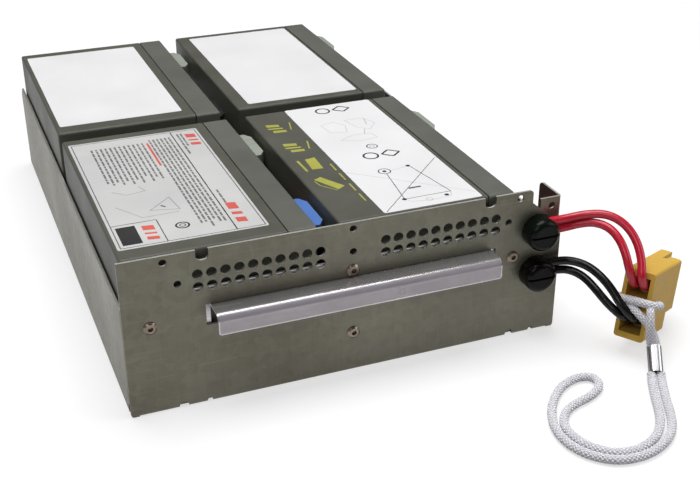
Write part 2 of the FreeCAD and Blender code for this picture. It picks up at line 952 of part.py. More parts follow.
def make_boot(doc, s, label, place, low, terminal_end, lead_end):
    """An insulating boot over one terminal, full or low.

    terminal_end and lead_end are 1 for the boot's +Y end and -1 for its -Y end.
    """
    body = new_body(doc, label, place)
    half = s.boot_length / 2
    width = s.low_boot_width if low else s.boot_width
    top = s.boot_seat + (s.low_boot_height if low else s.boot_height)
    shell = new_sketch(body, "shell", "XY_Plane", -width / 2)
    add_polygon(
        shell,
        [
            (s.boot_seat, -half),
            (top - s.boot_chamfer, -half),
            (top, -half + s.boot_chamfer * 1.6),
            (top, half - s.boot_chamfer * 1.6),
            (top - s.boot_chamfer, half),
            (s.boot_seat, half),
        ],
    )
    pad(body, shell, width)

    tab_y = terminal_end * (half - s.boot_overhang)
    slot = new_sketch(body, "tab_slot", "YZ_Plane", s.boot_seat)
    clearance = s.fit_clearance * 2
    add_rectangle(
        slot,
        tab_y - s.tab_width / 2 - clearance,
        -s.tab_thickness / 2 - clearance,
        tab_y + s.tab_width / 2 + clearance,
        s.tab_thickness / 2 + clearance,
    )
    pocket(body, slot, s.tab_height, backwards=True)

    bore = new_sketch(body, "lead_bore", "XZ_Plane", -lead_end * half)
    diameter = s.lead_diameter + 2 * s.fit_clearance
    add_circle(bore, s.boot_seat + s.boot_bore_height, 0, diameter)
    pocket(body, bore, s.boot_bore_depth, backwards=lead_end > 0)
    return body


def make_batteries(doc, s, at):
    """Four batteries with their terminals and boots, two columns by two rows."""
    made = []
    for row, y in at.rows.items():
        for column, x in at.columns.items():
            name = f"battery_{row}_{column}"
            place = (x, y, at.battery_floor)
            made.append(make_case(doc, s, f"{name}_case", place))
            made.append(make_lid(doc, s, at, f"{name}_lid", place))
            recess_floor = x + s.battery_height - s.recess_depth
            for end, local_y in at.row_ends.items():
                terminal = (recess_floor, y + local_y, at.terminal_z)
                label = f"{name}_terminal_{end}"
                made.append(make_terminal(doc, s, label, terminal))
                towards = -1 if end == "front" else 1
                shift = s.boot_length / 2 - s.boot_overhang
                boot_y = y + local_y - towards * shift
                boot = (at.lid_faces[column], boot_y, at.terminal_z)
                low = end == "front" and name != "battery_front_left"
                lead_end = 1 if row == "front" else -1
                label = f"{name}_boot_{end}"
                made.append(make_boot(doc, s, label, boot, low, towards, lead_end))
    return made


# ---------------------------------------------------------------------------------------
# Strain reliefs and plug
# ---------------------------------------------------------------------------------------
def make_grommet(doc, s, at, label, height):
    """A round strain relief: its leads come in along the axis and leave to the side."""
    body = new_body(doc, label)
    body.Placement = Placement(Vector(0, 0, 0), Rotation(Vector(1, 0, 0), 90))
    bind(body, "Placement.Base.x", at.grommet_x)
    bind(body, "Placement.Base.y", at.front)
    bind(body, "Placement.Base.z", height)
    inside = -at.grip - s.grommet_collar_length

    profile = new_sketch(body, "profile", "XZ_Plane")
    add_polygon(
        profile,
        [
            (0, inside),
            (s.grommet_collar_diameter / 2, inside),
            (s.grommet_collar_diameter / 2, -at.grip),
            (s.grommet_neck_diameter / 2, -at.grip),
            (s.grommet_neck_diameter / 2, 0),
            (s.grommet_head_diameter / 2, 0),
            (s.grommet_head_diameter / 2, s.grommet_head_height),
            (0, s.grommet_head_height),
        ],
    )
    turned = body.newObject("PartDesign::Revolution", "turned")
    turned.Profile = profile
    turned.ReferenceAxis = (profile, ["V_Axis"])
    turned.Angle = 360
    body.Tip = turned
    doc.recompute()
    round_edges(
        body,
        "head_round",
        s.grommet_head_round,
        lambda e: isinstance(e.Curve, Part.Circle) and near(e, z=s.grommet_head_height),
    )

    groove = new_sketch(body, "groove", "XY_Plane", s.grommet_head_height)
    half = s.grommet_groove_width / 2
    reach = s.grommet_head_diameter / 2
    add_rectangle(groove, -reach, -half, reach, half)
    pocket(body, groove, s.grommet_groove_depth)

    outlet = new_sketch(
        body,
        "outlet",
        "YZ_Plane",
        s.grommet_head_diameter / 2 - s.lead_outlet_depth,
    )
    inlet = new_sketch(body, "inlet", "XY_Plane", inside)
    diameter = s.lead_diameter + 2 * s.fit_clearance
    for side in (-1, 1):
        rise = s.lead_outlet_rise + side * at.lead_pitch / 2
        add_circle(outlet, rise, s.lead_outlet_reach, diameter)
        add_circle(inlet, 0, rise, diameter)
    pocket(body, outlet, s.lead_outlet_depth + 1, backwards=True)
    pocket(body, inlet, s.grommet_collar_length, backwards=True)
    return body


def make_plug(doc, s, at):
    """The plug's housing. Its own X runs from the cable end to the mating end."""
    body = new_body(doc, "plug_housing")
    body.Placement = at.plug
    half = s.plug_width / 2
    waist = s.waist_width / 2
    outline = new_sketch(body, "outline", "XZ_Plane")
    add_polygon(
        outline,
        [
            (0, -half),
            (s.plug_short_length, -half),
            (s.plug_short_length, -s.plug_step),
            (s.plug_body_length, -s.plug_step),
            (s.plug_body_length, half),
            (0, half),
            (0, waist),
            (s.waist_depth, waist),
            (s.waist_depth, -waist),
            (0, -waist),
        ],
    )
    pad(body, outline, s.plug_thickness, symmetric=True)

    # the tongue that carries both contacts, on the side away from the step
    side = s.plug_thickness / 2
    tongue = new_sketch(body, "tongue", "XZ_Plane", -side)
    add_rectangle(tongue, s.cavity_depth, -half, s.plug_length, half)
    pad(body, tongue, side - s.tongue_gap_low)
    round_edges(
        body,
        "long_edges",
        s.plug_edge_round,
        lambda e: along(e, "x")
        and abs(abs(e.CenterOfMass.z) - half.value) < 0.01
        and abs(abs(e.CenterOfMass.y) - side.value) < 0.01,
    )

    gap = new_sketch(body, "tongue_gap", "XY_Plane", -half)
    add_rectangle(
        gap,
        s.tongue_gap_start,
        -s.tongue_gap_high,
        s.plug_body_length,
        s.tongue_gap_low,
    )
    pocket(body, gap, s.plug_width, backwards=True)

    eye = new_sketch(body, "eye", "XZ_Plane", side)
    start = s.waist_depth + s.waist_bar
    add_rectangle(eye, start, -waist, start + s.waist_eye, waist)
    pocket(body, eye, s.plug_thickness)

    for pole in (-1, 1):
        name = "upper" if pole > 0 else "lower"
        middle = pole * s.pole_offset
        cavity = new_sketch(body, f"{name}_cavity", "YZ_Plane")
        add_rectangle(
            cavity,
            -s.cavity_thickness / 2,
            middle - s.cavity_width / 2,
            s.cavity_thickness / 2,
            middle + s.cavity_width / 2,
        )
        pocket(body, cavity, s.cavity_depth, backwards=True)
        window = new_sketch(body, f"{name}_window", "YZ_Plane", s.cavity_depth)
        add_rectangle(
            window,
            -s.tongue_gap_high,
            middle - s.window_width / 2,
            s.tongue_gap_low,
            middle + s.window_width / 2,
        )
        pocket(body, window, s.plug_body_length - s.cavity_depth, backwards=True)
    return body


def make_contact(doc, s, at, label, pole):
    """One contact: a crimp barrel at the end of its cavity and a tongue in the gap."""
    body = new_body(doc, label)
    shift = Placement(Vector(0, 0, pole * s.pole_offset.value), Rotation())
    body.Placement = at.plug.multiply(shift)
    rear = s.cavity_depth - s.barrel_length
    barrel = new_sketch(body, "barrel", "YZ_Plane", rear)
    add_rectangle(
        barrel,
        -s.barrel_thickness / 2,
        -s.barrel_width / 2,
        s.barrel_thickness / 2,
        s.barrel_width / 2,
    )
    pad(body, barrel, s.barrel_length)
    round_edges(
        body, "barrel_round", s.barrel_thickness * 0.4, lambda e: along(e, "x")
    )
    blade = new_sketch(body, "blade", "YZ_Plane", s.cavity_depth)
    low = s.tongue_gap_low - s.fit_clearance
    add_rectangle(
        blade, low - s.tongue_thickness, -s.tongue_width / 2, low, s.tongue_width / 2
    )
    pad(body, blade, s.tongue_end - s.cavity_depth)
    return body


# ---------------------------------------------------------------------------------------
# Leads and pull cord
# ---------------------------------------------------------------------------------------
# Routes outside the tray, from the strain relief to the plug. A lead rounds each point.
OUTER_ROUTES = {
    "lead_red_1": [
        (9.0, -7.5, 67.4),
        (16.5, -12.5, 68.6),
        (22.0, -18.0, 66.8),
        (25.4, -24.0, 62.7),
        (26.6, -30.0, 57.0),
        (25.4, -36.0, 50.3),
        (23.1, -39.8, 44.9),
        (24.9, -40.0, 40.0),
    ],
    "lead_red_2": [
        (6.5, -6.5, 62.2),
        (12.5, -11.0, 63.9),
        (16.8, -17.5, 63.3),
        (18.8, -24.5, 59.7),
        (19.0, -31.0, 54.0),
        (19.0, -35.3, 47.0),
        (21.3, -36.4, 40.6),
    ],
    "lead_black_1": [
        (5.5, -8.0, 41.5),
        (9.6, -14.5, 40.8),
        (12.2, -22.0, 38.4),
        (14.3, -29.5, 34.2),
        (15.5, -36.6, 28.7),
        (19.4, -41.0, 23.6),
    ],
    "lead_black_2": [
        (4.5, -7.8, 36.2),
        (7.8, -14.0, 34.8),
        (9.6, -21.5, 31.8),
        (11.5, -28.6, 27.8),
        (14.0, -34.4, 24.6),
        (17.6, -37.3, 21.6),
    ],
}

# The pull cord's loop on the floor, from one strand at the ferrule round to the other.
LOOP_ROUTE = [
    (18.6, -73.0),
    (14.0, -81.5),
    (8.6, -93.0),
    (2.8, -102.8),
    (-6.0, -110.8),
    (-19.0, -115.8),
    (-33.0, -115.0),
    (-42.6, -108.0),
    (-48.4, -97.0),
    (-48.2, -83.4),
    (-42.4, -70.4),
    (-34.2, -60.3),
    (-25.2, -53.4),
    (-15.0, -50.4),
    (-7.8, -53.6),
    (-9.4, -61.8),
    (-18.8, -67.4),
    (-29.0, -69.6),
    (-37.6, -74.4),
    (-42.8, -82.6),
    (-43.4, -93.0),
    (-39.3, -103.2),
    (-31.2, -110.0),
    (-20.0, -110.9),
    (-9.2, -106.6),
    (-1.7, -99.7),
    (4.0, -90.8),
    (9.4, -79.5),
    (14.0, -71.0),
]

FERRULE_TOP = (25.4, -53.6, 12.0)
FERRULE_BOTTOM = (20.4, -64.2, 4.2)


def inner_routes(s, at):
    """Return the routes inside the tray, from a strain relief to a boot."""
    face = at.lid_faces["right"].value
    right = at.bore_x(s, "right").value
    left = at.bore_x(s, "left").value
    beside = at.columns["right"].value
    top = at.terminal_z.value
    floor = (s.sheet + s.lead_diameter).value
    front = boot_lead_y(s, at, "front", "front")
    rear = boot_lead_y(s, at, "rear", "back")
    gap = (at.rows["rear"] - s.row_gap / 2).value
    high = lead_height(s, at, "black", 1)
    low = lead_height(s, at, "black", -1)
    return {
        "inner_lead_red_1": [
            (face + 15.5, front - 21, top - 8),
            (face + 17.5, front - 6, top - 19),
            (face + 16.5, front + 11, top - 23),
            (face + 11, front + 22, top - 17),
            (right + 0.5, front + 26, top - 7),
            (right, front + 18, top),
        ],
        "inner_lead_red_2": [
            (face + 16.5, front - 24, top - 16),
            (face + 19.5, front - 9, top - 30),
            (face + 19.5, front + 7, top - 47),
            (face + 16, front + 21, floor + 2.4),
            (face - 3, front + 26, floor),
            (beside + 42, front + 24, floor - 0.6),
            (beside + 4, front + 26, floor + 0.4),
            (left, front + 26, floor + 12),
            (left, front + 25, top - 25),
            (left, front + 19, top - 5),
            (left, front + 10, top),
        ],
        "inner_lead_black_1": [
            (face + 11, gap - 106, high),
            (face + 11.5, gap - 52, high + 0.4),
            (face + 11, gap + 4, high + 0.2),
            (face + 12, rear - 67, high + 2.4),
            (face + 10, rear - 37, top - 15),
            (right, rear - 17, top),
        ],
        "inner_lead_black_2": [
            (face + 11, gap - 106, low - 0.4),
            (face + 11.5, gap - 52, low),
            (face + 11, gap + 4, low - 0.6),
            (face + 12, rear - 71, low - 2.6),
            (face + 14, rear - 45, floor + 16),
            (face + 11, rear - 29, floor + 2.4),
            (face - 7, rear - 24, floor),
            (beside + 42, rear - 26, floor - 0.6),
            (beside + 4, rear - 24, floor + 0.4),
            (left, rear - 25, floor + 12),
            (left, rear - 25, top - 25),
            (left, rear - 19, top - 5),
            (left, rear - 10, top),
        ],
    }


def bend_radius(before, corner, after):
    """Return the radius that rounds a corner of a route, and the corner's half turn."""
    first = corner - before
    second = after - corner
    half_turn = first.getAngle(second) / 2
    shorter = min(first.Length, second.Length)
    return 0.45 * shorter / math.tan(half_turn), half_turn


def route_path(points):
    """Return a wire of straight runs and tangent arcs through points, and its radii."""
    edges = []
    radii = []
    here = points[0]
    for before, corner, after in zip(points, points[1:], points[2:]):
        radius, half_turn = bend_radius(before, corner, after)
        setback = radius * math.tan(half_turn)
        to_start = (before - corner).normalize()
        to_end = (after - corner).normalize()
        start = corner + to_start * setback
        end = corner + to_end * setback
        inward = (to_start + to_end).normalize()
        middle = corner + inward * (radius / math.cos(half_turn) - radius)
        edges.append(Part.LineSegment(here, start).toShape())
        edges.append(Part.Arc(start, middle, end).toShape())
        radii.append(radius)
        here = end
    edges.append(Part.LineSegment(here, points[-1]).toShape())
    return Part.Wire(edges), radii


def make_tube(doc, label, points, diameter):
    """Sweep a round section along a route and compare its volume with its length."""
    points = [Vector(*point) for point in points]
    path, radii = route_path(points)
    profile = Part.Wire(
        Part.makeCircle(diameter / 2, points[0], points[1] - points[0])
    )
    solid = path.makePipeShell([profile], True, False)
    expected = math.pi * (diameter / 2) ** 2 * path.Length
    if abs(solid.Volume - expected) > 0.01 * expected:
        raise ValueError(f"{label}: volume {solid.Volume:.0f}, expected {expected:.0f}")
    smallest = min(radii) if radii else 0.0
    print(f"{label}: length {path.Length:.1f}, smallest radius {smallest:.1f}")
    tube = doc.addObject("Part::Feature", label)
    tube.Label = label
    tube.Shape = solid
    return tube


def make_leads(doc, s, at):
    """The four leads outside the tray, the same four inside it, and the two jumpers."""
    made = []
    diameter = s.lead_diameter.value
    rear = (s.cavity_depth - s.barrel_length).value
    outlet = (
        at.grommet_x + s.grommet_head_diameter / 2 - s.lead_outlet_depth
    ).value
    for label, route in OUTER_ROUTES.items():
        colour, number = label.split("_")[1:]
        side = 1 if number == "1" else -1
        start = Vector(
            outlet,
            (at.front - s.lead_outlet_reach).value,
            lead_height(s, at, colour, side),
        )
        out = start + Vector(s.lead_straight_out.value, 0, 0)
        pole = (s.pole_offset * (1 if colour == "red" else -1)).value
        across = -side * at.lead_pitch.value / 2
        ends = [
            at.plug.multVec(Vector(distance, across, pole))
            for distance in (rear - 8, rear)
        ]
        points = [at.corner + Vector(*point) for point in route]
        made.append(make_tube(doc, label, [start, out, *points, *ends], diameter))

    end_z = at.terminal_z.value
    for label, route in inner_routes(s, at).items():
        colour, number = label.split("_")[2:]
        side = 1 if number == "1" else -1
        start = Vector(
            at.grommet_x.value,
            at.layer_back.value,
            lead_height(s, at, colour, side),
        )
        out = start + Vector(0, s.lead_straight_in.value, 0)
        column = "right" if number == "1" else "left"
        row = "front" if colour == "red" else "rear"
        end = (
            at.bore_x(s, column).value,
            boot_lead_y(s, at, row, "front" if colour == "red" else "back"),
            end_z,
        )
        made.append(make_tube(doc, label, [start, out, *route, end], diameter))

    for column in at.columns:
        x = at.bore_x(s, column).value
        start = (x, boot_lead_y(s, at, "front", "back"), end_z)
        end = (x, boot_lead_y(s, at, "rear", "front"), end_z)
        label = f"jumper_{column}"
        made.append(make_tube(doc, label, [start, end], diameter))
    return made


def lead_height(s, at, colour, side):
    """Return the Z of a lead in its strain relief: side is 1 for the upper bore."""
    height = at.grommets["upper" if colour == "red" else "lower"]
    return (height + s.lead_outlet_rise + side * at.lead_pitch / 2).value


def boot_lead_y(s, at, row, end):
    """Return the Y at which a lead stops inside a boot."""
    towards = -1 if end == "front" else 1
    middle = at.rows[row] + at.row_ends[end] - towards * (
        s.boot_length / 2 - s.boot_overhang
    )
    lead_end = 1 if row == "front" else -1
    return (middle + lead_end * (s.boot_length / 2 - s.boot_bore_depth)).value


def make_pull_cord(doc, s, at):
    """The cord's hitch and knot on the plug, its ferrule and its long loop."""
    radius = s.cord_diameter.value / 2
    top = at.corner + Vector(*FERRULE_TOP)
    bottom = at.corner + Vector(*FERRULE_BOTTOM)
    axis = (bottom - top).normalize()
    side = axis.cross(Vector(0, 0, -1)).normalize()
    turn = Rotation(side, axis.cross(side), axis, "ZXY")
    ferrule_place = Placement(top, turn)
    length = (bottom - top).Length

    width = s.ferrule_width.value
    thickness = s.ferrule_thickness.value
    wall = s.ferrule_wall.value
    tube = oval_prism(width, thickness, length)
    core = oval_prism(width - 2 * wall, thickness - 2 * wall, length)
    ferrule = doc.addObject("Part::Feature", "cord_ferrule")
    ferrule.Label = "cord_ferrule"
    ferrule.Shape = tube.cut(core)
    ferrule.Placement = ferrule_place

    # the hitch goes round the bar between the plug's two shrouds
    bar_middle = (s.waist_depth + s.waist_bar / 2).value
    half_bar = (s.waist_bar / 2 + s.hitch_slack).value + radius
    edge = (s.plug_thickness / 2 + s.hitch_bulge).value - radius
    hitch = racetrack(bar_middle, edge, half_bar, radius)
    hitch = hitch.transformGeometry(at.plug.toMatrix())
    knot_centre = at.plug.multVec(Vector(-5.2, -9.0, 1.0))
    knot = Part.makeSphere(s.knot_diameter.value / 2, knot_centre)
    core.Placement = ferrule_place
    strands = []
    for sign in (-1, 1):
        offset = side * (sign * (radius + 0.05))
        end = top + offset
        begin = end - axis * 2.5
        path, _ = route_path([knot_centre + offset, begin, end])
        section = Part.Wire(
            Part.makeCircle(radius, knot_centre + offset, begin - knot_centre - offset)
        )
        strands.append(path.makePipeShell([section], True, False))
    hitch_node = doc.addObject("Part::Feature", "cord_hitch")
    hitch_node.Label = "cord_hitch"
    hitch_node.Shape = hitch.multiFuse([knot, core, *strands]).removeSplitter()

    offset = side * (radius + 0.05)
    height = radius + s.floor_gap.value
    lying = [at.corner + Vector(x, y, height) for x, y in LOOP_ROUTE]
    drop = axis * ((bottom.z - height) / -axis.z)
    ends = [bottom + offset, bottom - offset]
    ends.sort(key=lambda end: end.distanceToPoint(lying[0]))
    start, finish = ends
    route = [start, start + drop, *lying, finish + drop, finish]
    loop = make_tube(doc, "cord_loop", route, s.cord_diameter.value)
    return [hitch_node, ferrule, loop]


def oval_prism(width, thickness, length):
    """A bar of stadium section along +Z, with its wide side along X."""
    radius = thickness / 2
    reach = width / 2 - radius
    corners = [
        Vector(-reach, -radius, 0),
        Vector(reach, -radius, 0),
        Vector(reach, radius, 0),
        Vector(-reach, radius, 0),
    ]
    edges = [
        Part.LineSegment(corners[0], corners[1]).toShape(),
        Part.Arc(corners[1], Vector(reach + radius, 0, 0), corners[2]).toShape(),
        Part.LineSegment(corners[2], corners[3]).toShape(),
        Part.Arc(corners[3], Vector(-reach - radius, 0, 0), corners[0]).toShape(),
    ]
    return Part.Face(Part.Wire(edges)).extrude(Vector(0, 0, length))


def racetrack(middle, edge, reach, radius):
    """A closed cord of round section round a bar that lies along Y at x = middle."""
    straights = [
        Part.makeCylinder(
            radius, 2 * edge, Vector(middle + sign * reach, -edge, 0), Vector(0, 1, 0)
        )
        for sign in (-1, 1)
    ]
    ring = Part.makeTorus(reach, radius, Vector(middle, 0, 0), Vector(0, 0, 1))
    size = reach + 2 * radius
    ends = []
    for sign in (-1, 1):
        low = Vector(middle - size, 0 if sign > 0 else -size, -size)
        half = ring.common(Part.makeBox(2 * size, size, 2 * size, low))
        half.translate(Vector(0, sign * edge, 0))
        ends.append(half)
    return straights[0].multiFuse([straights[1], *ends]).removeSplitter()


# ---------------------------------------------------------------------------------------
# Assembly
# ---------------------------------------------------------------------------------------
def check(doc, nodes):
    """Stop if an object has failed or a node has no valid solid."""
    for item in doc.Objects:
        if "Invalid" in item.State or "Error" in item.State:
            raise ValueError(f"{item.Name} is {item.State}")
    for node in nodes:
        shape = node.Shape
        if shape.isNull() or not shape.isValid() or not shape.Solids:
            raise ValueError(f"{node.Label} has no valid solid")


def main():
    """Build the cartridge and write one STEP file for each node."""
    doc = FreeCAD.newDocument(DOCUMENT_NAME)
    s = Sizes(doc)
    at = Layout(s)
    nodes = [make_tray(doc, s, at), make_handle(doc, s, at), make_rivets(doc, s, at)]
    nodes += make_pads(doc, s, at)
    nodes += make_batteries(doc, s, at)
    for name, height in at.grommets.items():
        nodes.append(make_grommet(doc, s, at, f"strain_relief_{name}", height))
    nodes.append(make_plug(doc, s, at))
    nodes.append(make_contact(doc, s, at, "plug_contact_upper", 1))
    nodes.append(make_contact(doc, s, at, "plug_contact_lower", -1))
    nodes += make_leads(doc, s, at)
    nodes += make_pull_cord(doc, s, at)
    doc.recompute()
    check(doc, nodes)
    os.makedirs("parts", exist_ok=True)
    for node in nodes:
        node.Shape.exportStep(os.path.join("parts", f"{node.Label}.step"))
    print(f"{len(nodes)} nodes written")


main()
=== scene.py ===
"""Dresses the UPS battery cartridge: finishes, labels, leads, pull cord, light, camera."""

import json
import logging
import math
from dataclasses import dataclass, field
from enum import Enum
from typing import Iterable, Sequence

import bmesh
import bpy
from mathutils import Matrix, Vector

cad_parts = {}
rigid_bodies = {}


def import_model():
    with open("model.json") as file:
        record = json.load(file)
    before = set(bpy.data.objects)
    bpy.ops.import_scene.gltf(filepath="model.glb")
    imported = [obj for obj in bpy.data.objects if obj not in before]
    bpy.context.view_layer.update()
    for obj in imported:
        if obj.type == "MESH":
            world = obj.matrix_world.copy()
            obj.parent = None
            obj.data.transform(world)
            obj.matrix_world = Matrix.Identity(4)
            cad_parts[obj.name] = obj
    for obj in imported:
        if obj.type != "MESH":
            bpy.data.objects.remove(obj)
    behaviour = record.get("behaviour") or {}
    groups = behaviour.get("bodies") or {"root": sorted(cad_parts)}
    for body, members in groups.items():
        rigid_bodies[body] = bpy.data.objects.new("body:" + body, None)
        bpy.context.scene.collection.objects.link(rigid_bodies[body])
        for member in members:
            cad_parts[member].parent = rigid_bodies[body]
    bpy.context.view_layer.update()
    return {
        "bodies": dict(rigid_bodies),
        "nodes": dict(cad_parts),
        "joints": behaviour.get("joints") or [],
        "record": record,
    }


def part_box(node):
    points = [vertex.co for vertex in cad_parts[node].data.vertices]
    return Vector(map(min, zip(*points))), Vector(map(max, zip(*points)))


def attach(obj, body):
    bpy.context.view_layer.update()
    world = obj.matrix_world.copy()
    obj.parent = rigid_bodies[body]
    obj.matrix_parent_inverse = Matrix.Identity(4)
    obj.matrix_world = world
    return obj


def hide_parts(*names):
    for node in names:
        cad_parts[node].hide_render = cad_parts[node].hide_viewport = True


LOG = logging.getLogger("battery_cartridge")
MM = 0.001

Colour = tuple[float, float, float]
Point = tuple[float, float, float]

DUST_COLOUR: Colour = (0.42, 0.40, 0.36)
# pale bare-steel colour of the sheet's edge faces, also used as a painted highlight where
# they face the light above
PALE_EDGE_AND_HIGHLIGHT_COLOUR: Colour = (0.72, 0.71, 0.66)
# painted reflection: the dark colour that metal takes where it turns away from the viewer,
# as if reflecting dark surroundings
PAINTED_RIM_REFLECTION_COLOUR: Colour = (0.035, 0.032, 0.035)


# --------------------------------------------------------------------------------------
# Shader effects that several finishes share
# --------------------------------------------------------------------------------------
class Effect(Enum):
    """The node groups that the finishes are built from."""

    GRAIN = "Moulded grain"
    SPANGLE = "Zinc spangle"
    SCRATCHES = "Handling scratches"
    DUST = "Settled dust"
    BRAID = "Braided cover"


class NodeSketch:
    """Adds nodes and links to one node tree."""

    def __init__(self, tree: bpy.types.NodeTree) -> None:
        """Keep the tree that the nodes go into.

        Args:
            tree: The tree of a material or of a node group.
        """
        self.tree = tree

    def add(self, kind: str, **settings: object) -> bpy.types.Node:
        """Add a node.

        Args:
            kind: The node's type name.
            settings: Properties of the node to set.

        Returns:
            The new node.
        """
        node = self.tree.nodes.new(kind)
        for name, value in settings.items():
            setattr(node, name, value)
        return node

    def join(self, source: bpy.types.NodeSocket, target: bpy.types.NodeSocket) -> None:
        """Link one socket to another."""
        self.tree.links.new(source, target)

    def math(self, operation: str, first: object, second: object) -> bpy.types.NodeSocket:
        """Combine two values.

        Args:
            operation: The Math node's operation.
            first: A socket or a number.
            second: A socket or a number.

        Returns:
            The result's socket.
        """
        node = self.add("ShaderNodeMath", operation=operation)
        for socket, value in zip(node.inputs, (first, second)):
            if isinstance(value, bpy.types.NodeSocket):
                self.join(value, socket)
            else:
                socket.default_value = value
        return node.outputs[0]

    def spread(
        self,
        value: bpy.types.NodeSocket,
        low: float,
        high: float,
        to_low: float = 0.0,
        to_high: float = 1.0,
    ) -> bpy.types.NodeSocket:
        """Map a value from one range to another and clamp it.

        Args:
            value: The socket to read.
            low: The value that becomes to_low.
            high: The value that becomes to_high.
            to_low: The result at low.
            to_high: The result at high.

        Returns:
            The mapped value's socket.
        """
        node = self.add("ShaderNodeMapRange")
        self.join(value, node.inputs["Value"])
        for name, number in (
            ("From Min", low),
            ("From Max", high),
            ("To Min", to_low),
            ("To Max", to_high),
        ):
            node.inputs[name].default_value = number
        return node.outputs["Result"]

    def noise(
        self, vector: bpy.types.NodeSocket, scale: object, detail: float = 3.0
    ) -> bpy.types.NodeSocket:
        """Add a noise texture.

        Args:
            vector: The coordinates' socket.
            scale: A socket or a number of cells per metre.
            detail: How many finer layers are added.

        Returns:
            The noise value's socket.
        """
        node = self.add("ShaderNodeTexNoise")
        node.inputs["Detail"].default_value = detail
        self.join(vector, node.inputs["Vector"])
        if isinstance(scale, bpy.types.NodeSocket):
            self.join(scale, node.inputs["Scale"])
        else:
            node.inputs["Scale"].default_value = scale
        return node.outputs["Fac"]

    def blend(
        self, mask: bpy.types.NodeSocket, first: object, second: object
    ) -> bpy.types.NodeSocket:
        """Mix two colours by a mask.

        Args:
            mask: The mask's socket: 0 gives the first colour.
            first: A socket or a colour.
            second: A socket or a colour.

        Returns:
            The mixed colour's socket.
        """
        node = self.add("ShaderNodeMix", data_type="RGBA")
        self.join(mask, node.inputs["Factor"])
        for socket, value in zip((node.inputs[6], node.inputs[7]), (first, second)):
            if isinstance(value, bpy.types.NodeSocket):
                self.join(value, socket)
            else:
                socket.default_value = (*value, 1.0)
        return node.outputs[2]


